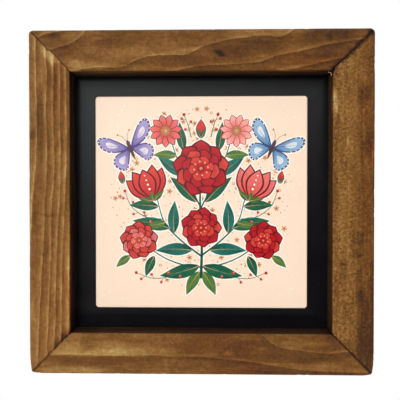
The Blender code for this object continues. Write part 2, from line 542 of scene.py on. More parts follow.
@dataclass(frozen=True)
class Chip:
    """A spot that the stain didn't reach, in millimetres.

    Attributes:
        place: Its middle: along the rail, across it from the opening, and behind the face.
        reach: Its half sizes the same ways.
        share: How bare it is.
        tilt: Its turn on the face, in degrees.
    """

    place: Point3
    reach: Point3
    share: float
    tilt: float

    def cover(self, wood: Array) -> Array:
        """How bare each point of the wood is: the share times exp(-d^4), d in half sizes from the middle.

        Args:
            wood: Each point's place: along, across and behind the face.

        Returns:
            How bare it is, from 0 to 1.
        """
        away = wood - self.place
        away[:, :2] = turned(away[:, :2], -self.tilt)
        return self.share * np.exp(-(((away / self.reach) ** 2).sum(axis=1) ** 2))


@dataclass(frozen=True)
class RailFigure:
    """What a rail's wood looks like.

    Attributes:
        lines: The edges of the years' rings on the face, in the order in which the rings grew. Each is a row
            of knots in millimetres: along the rail from its middle, and across it from the opening.
        spacing: The distance between rings beyond the first and the last line, in millimetres.
        lean: How far a ring goes across for each millimetre of depth.
        tone: The stain's level, from 0 (dark) to 1.
        warm: The stain's colour, from -1 (grey) to 1 (red).
        contrast: How strongly the rings show.
        fleck: How strongly the cross figure shows, near the opening and at the outer edge.
        recess: How strongly the nearly black colour covers the wall of the recess, at the front and at the
            board:
        dark stain and painted shade, which differ from wall to wall.
        seed: Picks the noises.
        patches: The places that differ.
        chips: The spots of bare wood beside the joints.
    """

    lines: tuple[tuple[Point, ...], ...]
    spacing: float
    lean: float
    tone: float
    warm: float
    contrast: float
    fleck: Point
    recess: Point
    seed: int
    patches: tuple[Patch, ...]
    chips: tuple[Chip, ...] = ()

    def line_across(self, number: int, along: Array) -> Array:
        """A ring line's distance from the opening, with a slow and a quick waver laid over it.

        Args:
            number: Which line.
            along: Distances from the rail's middle.

        Returns:
            The distance at each of them.
        """
        seeds = np.full_like(along, self.seed + number)
        slow = 0.26 * lattice_noise(np.stack([along / 17.0, seeds], 1), 5)
        quick = 0.10 * lattice_noise(np.stack([along / 4.0, seeds], 1), 9)
        return curve_through(np.array(self.lines[number]), along) + slow + quick

    def growth(self, along: Array, across: Array, depth: Array) -> tuple[Array, Array]:
        """The year at each point: a whole number on each ring line, and a share of a year between.

        A point at a depth counts as if it lay on the face, moved across by the lean. Between two lines the
        year goes evenly with the distance, and beyond the outer ones by the spacing.

        Args:
            along: Millimetres from the rail's middle.
            across: Millimetres from the opening.
            depth: Millimetres behind the face.

        Returns:
            The years, and the width of each point's ring in millimetres.
        """
        moved = across + self.lean * depth
        places = [self.line_across(number, along) for number in range(len(self.lines))]
        way = 1.0 if places[-1].mean() > places[0].mean() else -1.0
        years = np.minimum(way * (moved - places[0]) / self.spacing, 0.0)
        width = np.full(len(along), self.spacing)
        for first, second in zip(places[:-1], places[1:]):
            gap = np.maximum(np.abs(second - first), 0.4)
            share = way * (moved - first) / gap
            years += np.clip(share, 0.0, 1.0)
            width = np.where((share > 0.0) & (share < 1.0), gap, width)
        years += np.maximum(way * (moved - places[-1]) / self.spacing, 0.0)
        return years + 8.0, width

    def stain(self, along: Array, across: Array) -> tuple[Array, Array]:
        """The stain at each point: the rail's own, and each patch by its cover, with a ragged edge.

        Args:
            along: Distances from the rail's middle.
            across: Distances from the opening.

        Returns:
            The level and the warmth.
        """
        level, warm = np.full(len(along), self.tone), np.full(len(along), self.warm)
        ragged = np.stack([along / 9.0, across / 3.0], 1)
        run = along + 2.2 * layered_noise(ragged, self.seed + 3)
        rise = across + 0.9 * layered_noise(ragged, self.seed + 4)
        for patch in self.patches:
            cover = patch.cover(run, rise)
            level += patch.light * cover
            warm += patch.warm * cover
        return level, warm

    def bare(self, wood: Array) -> Array:
        """How bare each point of the wood is, by the chip that lays it barest."""
        return np.max([np.zeros(len(wood))] + [chip.cover(wood) for chip in self.chips], axis=0)


class Side(Enum):
    """The four rails, by where they lie. Each value is the way along the rail and the way out, as X and Z."""

    TOP = ((1.0, 0.0), (0.0, 1.0))
    RIGHT = ((0.0, 1.0), (1.0, 0.0))
    BOTTOM = ((1.0, 0.0), (0.0, -1.0))
    LEFT = ((0.0, 1.0), (-1.0, 0.0))

    @property
    def node(self) -> str:
        """The solid that the rail replaces."""
        return "rail_" + self.name.lower()


FIGURES = {
    Side.TOP: RailFigure(
        lines=(
            ((-115.5, 6.8), (-111.3, 12.3), (-101.7, 15.4), (-87.8, 20.2), (-83.7, 23.2), (-75.4, 32.8)),
            ((-97.5, -1.4), (-69.8, 2.4), (-52.6, 3), (-42.2, 8.2), (-35.3, 9.9), (-21.4, 10.6), (-7.6, 11.3),
             (-0.7, 15), (9.7, 18.5), (20.1, 20.8), (33.9, 22.6), (42.2, 23.6), (58.1, 23.9), (62.9, 27.3),
             (67.1, 31.4)),
            ((-28.4, -2.1), (-0.7, 2.7), (23.5, 4.4), (42.2, 6.2), (54.6, 10.3), (68.5, 13), (78.8, 15.4),
             (89.2, 17.8), (99.6, 19.4), (110, 20.8), (118, 21.6)),
        ),
        spacing=11, lean=0.9, tone=0.45, warm=0.12, contrast=0.8, fleck=(0.4, 0.28), recess=(0.4, 0.92),
        seed=11,
        patches=Patch.rows(
            (-87, 5, 6, 3, 0.22, -0.5), (-72, 3.6, 14, 2, 0.16, -0.2), (-72, 21.9, 6, 1.6, 0.16, -0.3, 12),
            (-92, 25, 9, 3, 0.08, -0.3), (-101, 24.5, 4, 2.2, -0.2, -0.2), (-94, 14, 8, 4, -0.1, 0.1),
            (-60, 20, 18, 4, -0.08, 0.1), (-46, 13, 40, 8, 0.07, 0), (-12, 13.6, 13, 1.9, 0.14, -0.1, 8),
            (46, 26.8, 24, 3, 0.2, -0.5), (36, 15.5, 26, 6.5, -0.14, 0.1, 8), (-8, 6, 26, 4, -0.12, 0.3),
            (12.9, 11.6, 3.2, 1.7, -0.4, 0.1, -14), (14.6, 10.9, 1.8, 1.2, -0.18, 0),
            (10.4, 12.6, 3.4, 1, -0.2, 0, -14), (12, 12, 6.8, 4, -0.06, 0.2, -14), (88, 24, 20, 6, -0.16, 0),
            (87.1, 22.6, 1.6, 2.8, -0.13, -0.4), (84, 7, 34, 5, -0.08, 0.6),
            (88, 18.6, 18, 1.5, 0.06, -0.3, 13), (94, 14, 24, 12, -0.09, 0.2),
            (116.5, 27, 3.5, 2.2, -0.26, 0.3),
        ),
    ),
    Side.RIGHT: RailFigure(
        lines=(
            ((-118, 29), (-40, 27.5), (30, 28.5), (118, 27.5)),
            ((-118, 21), (-60, 20), (0, 21.5), (60, 19.5), (118, 21.5)),
            ((-118, 15.5), (-50, 14.2), (0, 15.8), (60, 14.6), (118, 15.8)),
            ((-118, 9.6), (-60, 9), (0, 10), (60, 8.8), (118, 9.8)),
            ((-118, 3), (-60, 3.8), (0, 3.4), (60, 3.9), (118, 3.6)),
        ),
        spacing=5.5, lean=0.35, tone=0.47, warm=0.1, contrast=0.22, fleck=(1.25, 0.7), recess=(0.74, 0.84),
        seed=23,
        patches=Patch.rows(
            (70, 1.6, 9, 1.9, 0.4, -0.7), (40, 9.5, 90, 6.5, 0.09, -0.35), (-86, 9, 26, 6, 0.03, -0.3),
            (116.5, 27, 3, 2.2, -0.2, 0.3), (-20, 7, 26, 5, 0.05, -0.3), (-10, 24, 130, 6.5, -0.08, 0.25),
            (74, 21.5, 7, 4.5, -0.12, 0.1, 20), (37, 27.4, 16, 1.4, 0.12, 0.7), (39, 23, 9, 3.4, -0.14, 0.3),
            (75.7, 11.1, 3, 2.2, -0.16, 0.2), (-24, 18, 5, 5, -0.15, -0.4),
            (-36, 15.6, 4.5, 3.2, -0.15, -0.6, 24), (-50, 17.6, 6, 2.6, -0.1, -0.5),
            (-64, 19, 5.5, 3, -0.17, -0.3), (-93, 23.5, 28, 7, -0.23, 0), (-62, 27.5, 24, 2, -0.12, 0.4),
            (-42.6, 7.6, 0.8, 4, -0.22, 0.2), (-66, 8.5, 1.2, 4, 0.12, -0.3), (-88, 7, 9, 6, 0.02, -0.2),
            (-103, 9, 9, 9, -0.1, 0), (92, 15, 10, 6, 0.06, -0.4),
        ),
        chips=(Chip((94, 4.4, 0), (1.2, 0.5, 1), 0.4, 45),),
    ),
    Side.BOTTOM: RailFigure(
        lines=(
            ((24, -12), (38, -3), (42.5, 0.6), (47.6, 5.1), (51.5, 7.6), (57, 9.5), (68.8, 11.2),
             (81.6, 12.7), (88.4, 13.5), (98.6, 12), (118.3, 10.9)),
            ((-118.3, 15.3), (-69.8, 15.7), (-18, 15.7), (9.7, 16.8), (27, 18.4), (40, 20.2), (51.8, 22.1),
             (71.4, 24.6), (90, 25.8), (118.3, 26.6)),
        ),
        spacing=15, lean=0.8, tone=0.46, warm=0.08, contrast=0.62, fleck=(0.45, 0.3), recess=(0.79, 0.94),
        seed=37,
        patches=Patch.rows(
            (-70, 11, 40, 5.5, 0.2, -0.3), (-64, 13.2, 15, 2.4, 0.12, -0.6), (-22, 12, 9, 2.2, 0.14, -0.3),
            (-77.5, 6.2, 6, 5.5, -0.13, -0.7), (-90.6, 8, 7, 5, 0.02, -0.2), (-96, 14, 14, 4, 0.08, -0.2),
            (-106, 22, 10, 5, 0.08, 0), (-86, 2.6, 18, 2.4, 0.08, 0), (93, 3.5, 8, 6, -0.16, 0.1),
            (103.2, 28.4, 1.2, 1.5, -0.5, 0.2), (-21, 28.3, 6.5, 0.7, -0.32, 0.1),
            (28, 20.5, 14, 6, -0.06, 0.2), (-70, 19, 34, 3, -0.05, 0.4), (-90, 26, 26, 2.6, 0.2, -0.6),
            (12, 10, 34, 9, -0.11, 0.5), (19.4, 13.4, 4, 2.2, 0.18, -0.3), (8, 13.8, 5, 1.2, 0.12, -0.2),
            (66, 16.4, 26, 3.2, -0.08, -0.1, 4), (68, 6.5, 20, 3.8, 0.07, -0.3),
            (80, 22, 28, 2.6, 0.1, -0.3, 3), (60, 27, 60, 1.8, -0.1, 0.2), (26, 24, 22, 3.6, -0.05, 0.5),
            (66, 16, 50, 14, -0.07, 0.2),
        ),
        chips=(Chip((-95, 4, 0), (1.8, 0.5, 1), 0.3, 45),),
    ),
    Side.LEFT: RailFigure(
        lines=(
            ((-115.7, 31), (-40.5, 28.8), (-16.6, 26.9), (0.5, 25.9), (21, 24.1), (34.7, 23.1), (96.2, 23.1),
             (116.7, 23.1)),
            ((-115.7, 22.4), (-88.4, 21.7), (-72.7, 20.8), (-60.4, 19.9), (-48.1, 19.3), (-35.7, 18.3),
             (-18, 17.7), (0.5, 17.2), (15.5, 16), (32.6, 15.2), (62, 16.3), (85.9, 15.5), (106.4, 16.2),
             (116.7, 16.2)),
            ((-102.1, 15.8), (-85, 15.3), (-61, 14.2), (-33.7, 13.3), (-20, 12.7), (-2.9, 12.2), (17.6, 10.7),
             (34.7, 10.4), (62, 11.1), (96.2, 10.9), (109.8, 10.8)),
            ((-98.6, 10.7), (-85, 10), (-61, 9.7), (-44, 9.4), (-30.3, 8.6), (-13.2, 7.9), (7.3, 6.8),
             (41.5, 6.2), (75.7, 6.5), (92.8, 6.4), (103, 6.2)),
            ((-98.6, 6.5), (-85, 5.9), (-61, 5.5), (-33.7, 4.8), (-2.9, 3.5), (21, 2.4), (55.2, 1.7),
             (85.9, 2), (96.2, 2.1)),
        ),
        spacing=5, lean=0.25, tone=0.57, warm=0.06, contrast=0.85, fleck=(0.35, 0.3), recess=(0.92, 1),
        seed=41,
        patches=Patch.rows(
            (100.6, 13.4, 6.4, 2.8, 0.38, -0.2, 45), (56, 20, 22, 3, -0.18, -0.1),
            (16, 19.5, 20, 2.6, -0.08, 0), (-25, 24.5, 30, 4, -0.08, 0.2), (70.9, 19.5, 5, 3, 0.08, -0.3),
            (78, 9, 26, 7, -0.1, 0.3), (47, 25, 3, 2.6, -0.12, 0), (40, 10, 5, 7, -0.1, 0.1),
            (25, 5.5, 14, 4, 0.1, -0.1), (-60, 2.2, 40, 2.6, 0.06, 0.6), (-60, 16, 50, 14, -0.01, 0.16),
            (-8.4, 16, 0.9, 11, -0.13, 0), (67.5, 15, 0.7, 10, -0.1, 0), (-38, 15.6, 22, 1.8, -0.12, 0.2),
            (-95, 19, 20, 6, 0.04, 0.1), (10, 27.3, 110, 1.8, 0.1, 0.1),
            (-95.5, 6.6, 8, 2.6, -0.26, 0.4, -45), (-92, 3.2, 5, 3.5, -0.2, 0.5),
        ),
        chips=(Chip((103.4, 13.2, 0), (2.2, 0.8, 1), 0.6, 45),),
    ),
}


# The finishes

# What each point of a rail carries for the wood's node group, and the group's own values.
WOOD_VALUES = {
    "Growth": 0.0,
    "Ring Width": 5.0,
    "Level": 0.5,
    "Warmth": 0.0,
    "Contrast": 1.0,
    "Fleck": 0.3,
    "Recess": 0.0,
    "Bare": 0.0,
}


@dataclass(frozen=True)
class StainedPine:
    """Pine with a walnut stain, darker down the recess's walls as dark stain and painted shade.

    Attributes:
        stops: The stain's colours from its darkest to its lightest.
        recess: The nearly black colour of the recess's walls and of the inside of the joints: dark stain, and
            on
        the walls painted shade.
        bare: Wood that a chip laid bare.
        red: What multiplies the colour of the warmest wood, in linear values.
        yellow: The same for the greyest wood.
        fibre_cells: Cells of noise for each metre across the grain.
        ring_waver: How far the ring lines waver from fibre to fibre, in millimetres.
        roughness: The roughness in the light and in the dark wood.
    """

    stops: tuple[tuple[float, Colour], ...] = (
        (0.00, (40, 24, 12)),
        (0.22, (75, 44, 15)),
        (0.42, (105, 67, 21)),
        (0.60, (133, 92, 43)),
        (0.78, (157, 119, 67)),
        (1.00, (190, 162, 104)),
    )
    recess: Colour = (25, 10, 7)
    bare: Colour = (206, 176, 130)
    red: tuple[float, float, float, float] = (1.10, 0.88, 0.80, 1.0)
    yellow: tuple[float, float, float, float] = (0.99, 1.03, 0.90, 1.0)
    fibre_cells: float = 1500.0
    ring_waver: float = 1.2
    roughness: Point = (0.62, 0.48)

    def group(self) -> NodeTree:
        """The wood's node group.

        Within a year the wood goes from dark, just after the ring line, to light, just before the next one.
        The fibres, the pores and the cross figure are noises that are stretched along the grain by different
        amounts. All add to the stain's level, which the ramp turns into colour.

        Returns:
            The group.
        """
        nodes = NodeGroup("stained_pine_figure", {"Grain": (0.0, 0.0, 0.0), **WOOD_VALUES})
        grain, growth, ring_width, level, warmth, contrast, flecks, recess, bare = nodes.arrive
        cells = self.fibre_cells
        waver = nodes.swing(nodes.noise(grain, (150.0, 600.0, 600.0), 3.0), self.ring_waver)
        share = nodes.math("FRACT", nodes.plus(growth, nodes.math("DIVIDE", waver, ring_width)))
        since = nodes.times(share, ring_width)
        until = nodes.minus(ring_width, since)
        fading = nodes.noise(grain, (50.0, 240.0, 240.0), 2.0, 0.6)
        line = nodes.times(nodes.ranged(until, 2.6, 0.3), nodes.ranged(until, 0.0, 0.5))
        line = nodes.times(line, nodes.ranged(fading, 0.32, 0.66, (0.02, 0.26)))
        dark = nodes.times(nodes.ranged(since, 3.6, 0.2), nodes.ranged(fading, 0.3, 0.7, (0.12, 0.05)))
        ring = nodes.times(nodes.plus(nodes.minus(line, dark), nodes.swing(share, 0.13)), contrast)

        fibre = nodes.noise(grain, (cells / 26, cells, cells), 3.0, 0.6)
        broad = nodes.noise(grain, (cells / 60, cells / 6, cells / 6), 2.0, 0.55)
        cloud = nodes.noise(grain, (55.0, 130.0, 130.0))
        slanted = nodes.add("VectorRotate", {0: grain, "Angle": 0.22}, rotation_type="Z_AXIS").outputs[0]
        mottle = nodes.noise(slanted, (300.0, 340.0, 340.0), 3.0, 0.60)
        fleck = nodes.noise(slanted, (620.0, 460.0, 460.0), 3.0, 0.66)
        pore = nodes.ranged(nodes.noise(grain, (cells / 7, cells * 1.6, cells * 1.6), 1.0), 0.66, 0.78)
        level = nodes.plus(
            level,
            ring,
            nodes.swing(fibre, nodes.plus(nodes.times(flecks, 0.16), 0.16)),
            nodes.swing(broad, 0.24),
            nodes.swing(cloud, 0.34),
            nodes.swing(mottle, 0.34),
            nodes.swing(fleck, nodes.times(flecks, 0.95)),
        )
        level = nodes.minus(level, nodes.times(pore, 0.10))

        stained = nodes.ramp(level, self.stops)
        warm = nodes.plus(warmth, nodes.swing(nodes.noise(grain, (70.0, 260.0, 260.0)), 1.2))
        colour = stained
        for sign, tint in ((1.0, self.red), (-1.0, self.yellow)):
            tinted = nodes.blend(1.0, stained, tint, "MULTIPLY")
            colour = nodes.blend(nodes.math("MULTIPLY", warm, sign, clamp=True), colour, tinted)
        chipped = nodes.blend(nodes.ranged(fibre, 0.3, 0.7, (0.0, 0.4)), linear(self.bare), colour)
        # The recess's walls and the inside of the joints go nearly black: dark stain, and on the walls
        # painted shade that deepens towards the board.
        sunk = nodes.times(recess, nodes.ranged(broad, 0.75, 0.2, (0.86, 1.0)))
        colour = nodes.blend(bare, nodes.blend(sunk, colour, linear(self.recess)), chipped)

        rough = nodes.plus(nodes.ranged(level, 0.2, 0.85, self.roughness), nodes.swing(fibre, 0.18))
        height = nodes.plus(nodes.times(fibre, 0.5), nodes.times(ring, 0.5))
        height = nodes.minus(height, nodes.times(pore, 0.5))
        return nodes.close({"Color": colour, "Roughness": rough, "Height": height})

    def material(self) -> Material:
        """The finish of the rails, which reads the figure that each rail's points carry.

        Returns:
            The material.
        """
        nodes = MaterialNodes("stained_pine")
        carried = {label: nodes.carried(label.lower().replace(" ", "_"))["Fac"] for label in WOOD_VALUES}
        carried["Grain"] = nodes.carried("grain")["Vector"]
        figure = nodes.add("Group", carried, node_tree=self.group()).outputs
        return nodes.close(
            {
                "Base Color": figure["Color"],
                "Roughness": figure["Roughness"],
                "Normal": nodes.bump(figure["Height"], 0.35, 0.00025),
                "Specular IOR Level": 0.30,
            }
        )


@dataclass(frozen=True)
class SatinPaint:
    """Black paint with a satin sheen, a painted sheen towards the upper left, a little dust and a fine
    stipple from the roller.

    Attributes:
        shades: The two blacks between which the clouds go.
        painted_sheen: The grey painted thinly on the front as the sheen of the light from the upper left.
        painted_sheen_way: The way in which the painted sheen gets stronger, as X and Z.
        painted_sheen_span: Where along that way the painted sheen begins and where it is strongest, in metres
        from the middle.
        painted_sheen_share: How much of the black the painted sheen covers at its strongest.
        painted_shade_rim: How far from the opening's edge the painted sheen begins, and where it is full, in
        metres. The dark strip left beside the walls is painted shade.
        dust: The colour of the specks.
        roughness: The roughness in the least and the most worn places.
    """

    shades: tuple[Colour, Colour] = ((6, 5, 9), (10, 9, 15))
    painted_sheen: Colour = (112, 119, 118)
    painted_sheen_way: Point = (-0.46, 0.89)
    painted_sheen_span: Point = (-0.080, 0.152)
    painted_sheen_share: float = 0.27
    painted_shade_rim: Point = (0.0014, 0.0048)
    dust: Colour = (70, 70, 70)
    roughness: Point = (0.30, 0.38)

    def material(self, mottle: NodeTree, middle: Point3, opening: float) -> Material:
        """The board's finish: two blacks by the clouds, a painted sheen, specks of dust, and a stipple in the
        bump.

        The painted sheen grows with the square of the place along its way. It lies only in front of the
        board's middle, and fades out towards the walls of the recess, which leaves painted shade beside them.

        Args:
            mottle: The shared node group.
            middle: The board's middle.
            opening: The side of the frame's opening.

        Returns:
            The material.
        """
        nodes = MaterialNodes("black_paint")
        place, cloud, grain, specks = nodes.mottle(mottle, (45.0, 1100.0, 330.0))
        from_middle = nodes.add("VectorMath", {0: place, 1: middle}, operation="SUBTRACT").outputs[0]
        part = nodes.add("SeparateXYZ", {0: from_middle}).outputs
        out = nodes.math("MAXIMUM", nodes.math("ABSOLUTE", part["X"]), nodes.math("ABSOLUTE", part["Z"]))
        low, high = self.painted_sheen_span
        along = nodes.along(from_middle, (self.painted_sheen_way[0], 0.0, self.painted_sheen_way[1]))
        # haze is the painted sheen: grey laid on the black where the light from the upper left shines, left
        # out next to the walls as painted shade.
        haze = nodes.times(
            nodes.math("POWER", nodes.math("DIVIDE", nodes.minus(along, low), high - low, clamp=True), 2.0),
            self.painted_sheen_share,
            nodes.ranged(cloud, 0.2, 0.8, (0.85, 1.15)),
            nodes.ranged(part["Y"], 0.0, -0.0025),
            nodes.ranged(out, *(opening / 2 - rim for rim in self.painted_shade_rim)),
        )
        colour = nodes.blend(cloud, linear(self.shades[0]), linear(self.shades[1]))
        colour = nodes.blend(haze, colour, linear(self.painted_sheen))
        return nodes.close(
            {
                "Base Color": nodes.blend(nodes.times(specks, 0.4), colour, linear(self.dust)),
                "Roughness": nodes.ranged(cloud, 0.25, 0.75, self.roughness),
                "Normal": nodes.bump(grain, 0.12, 0.0001),
                "Specular IOR Level": 0.36,
            }
        )


@dataclass(frozen=True)
class PictureGlaze:
    """A peach glaze over a painted picture, and the bare clay of the tile's back.

    Attributes:
        clay: The unglazed body.
        pooling: How much lighter and darker the colours go where they pooled as they dried.
        roughness: The glaze's roughness, and the clay's.
    """

    clay: Colour = (214, 186, 158)
    pooling: float = 0.75
    roughness: Point = (0.16, 0.78)

    def material(self, mottle: NodeTree) -> Material:
        """The tile's finish, which reads the picture's colours from the mesh's corners.

        The picture's alpha says how much pigment lies there. Where there is some, two noises lighten and
        darken it as watercolour does. Where the glaze ends, the clay shows.

        Args:
            mottle: The shared node group.

        Returns:
            The material.
        """
        nodes = MaterialNodes("peach_glaze")
        place, cloud, grain, _ = nodes.mottle(mottle, (60.0, 1500.0, 240.0))
        picture, glazed = nodes.carried("picture"), nodes.carried("glazed")["Fac"]
        wash = nodes.noise(place, (420.0, 420.0, 420.0), 4.0, 0.66)
        swing = nodes.plus(nodes.minus(wash, 0.5), nodes.swing(grain, 0.4))
        swing = nodes.times(swing, nodes.times(picture["Alpha"], self.pooling))
        colour = picture["Color"]
        for light in (nodes.plus(swing, 1.0), nodes.ranged(cloud, 0.2, 0.8, (0.985, 1.01))):
            colour = nodes.add("HueSaturation", {"Value": light, "Color": colour}).outputs[0]
        clay = nodes.blend(grain, linear(self.clay), linear(tuple(0.86 * part for part in self.clay)))
        glaze, bare = self.roughness
        rough = nodes.plus(nodes.times(glazed, glaze - bare), bare, nodes.times(cloud, 0.05))
        return nodes.close(
            {
                "Base Color": nodes.blend(glazed, clay, colour),
                "Roughness": rough,
                "Normal": nodes.bump(cloud, 0.10, 0.0002),
                "Coat Weight": glazed,
                "Coat Roughness": 0.06,
            }
        )


# The frame


@dataclass(frozen=True)
class MitreJoint:
    """How two rails meet at a corner, in millimetres.

    Attributes:
        gaps: How far the joint stands open at the face, at the opening, halfway and at the outer corner.
        cut: How far the saw cut lies to one side, at distances from the opening, with straight lines between.
        rough: How far the cut wanders.
        seed: Picks its waver.
        stain: How much darker the stain has made the wood beside the joint, and how far, in millimetres.
        corner: The radius of the frame's round corner there, seen from the front.
        closed: How far the joint stands open behind the face, where the rails meet.
        slip: How far the cut wanders to one side behind the face.
    """

    gaps: Point3
    cut: tuple[Point, ...]
    rough: float
    seed: int
    stain: Point
    corner: float
    closed: float = 0.10
    slip: float = 0.35

    def opening(self, across: Array, depth: Array) -> Array:
        """The joint's width: a smooth line through the gaps, which closes 0.3 to 2 mm behind the face."""
        knots = np.stack([(0.0, 14.0, 28.5), self.gaps], 1)
        return self.closed + (curve_through(knots, across) - self.closed) * smooth_step(2.0, 0.3, depth)

    def centre(self, across: Array, depth: Array) -> Array:
        """How far the joint's middle lies to one side of the mitre.

        Args:
            across: Distances from the opening.
            depth: Distances behind the face.

        Returns:
            The distances: the saw cut's, a waver that fades at both ends, and the slip behind the face.
        """
        stepped = np.interp(across, *zip(*self.cut))
        fade = smooth_step(-1.0, 3.0, across) * smooth_step(29.5, 25.0, across)
        place = np.stack([across / 1.8, np.full_like(across, self.seed)], 1)
        waver = self.rough * lattice_noise(place, self.seed)
        bend = smooth_step(2.0, 5.0, depth) - smooth_step(10.0, 15.0, depth)
        return stepped + waver * fade + self.slip * bend


TOP_LEFT = MitreJoint(
    gaps=(0.26, 0.10, 0.42),
    cut=((0, 0), (3, 0.5), (13.8, 0.6), (14.8, -0.4), (17.5, 0.2), (24.5, 0.5), (28.5, 0)),
    rough=0.16,
    seed=3,
    stain=(0.12, 0.9),
    corner=3.2,
)
TOP_RIGHT = MitreJoint(
    gaps=(0.66, 0.16, 0.40),
    cut=((0, 0), (1.4, 0.8), (4.3, 0.7), (7, 0.1), (16, -0.2), (18.5, 0.1), (28.5, -0.2)),
    rough=0.22,
    seed=5,
    stain=(0.38, 3.2),
    corner=3.9,
)
BOTTOM_RIGHT = MitreJoint(
    gaps=(0.26, 0.20, 0.26),
    cut=((0, 0), (28.5, 0)),
    rough=0.12,
    seed=7,
    stain=(0.26, 1.6),
    corner=1.8,
)
BOTTOM_LEFT = MitreJoint(
    gaps=(0.30, 0.12, 0.22),
    cut=((0, 0), (5, -0.2), (12, 0.2), (13.5, -0.2), (18.5, 0.15), (28.5, 0)),
    rough=0.14,
    seed=9,
    stain=(0.22, 1.7),
    corner=1.4,
)

# The joints at each rail's start and at its end.
END_JOINTS = {
    Side.TOP: (TOP_LEFT, TOP_RIGHT),
    Side.RIGHT: (BOTTOM_RIGHT, TOP_RIGHT),
    Side.BOTTOM: (BOTTOM_LEFT, BOTTOM_RIGHT),
    Side.LEFT: (BOTTOM_LEFT, TOP_LEFT),
}


@dataclass(frozen=True)
class RailMesh:
    """A rail's surface.

    Attributes:
        points: Its points.
        faces: Its faces.
        grain: Each point's place in the wood: along, across and behind the face.
        wear: How far each point's edge is worn.
        end: Each point's distance from the nearer joint, and that joint's number, 0 or 1.
        hidden: How strongly the dark stain covers the points inside a joint, and 0 for the others.
    """

    points: Array
    faces: Faces
    grain: Array
    wear: Array
    end: Array
    hidden: Array


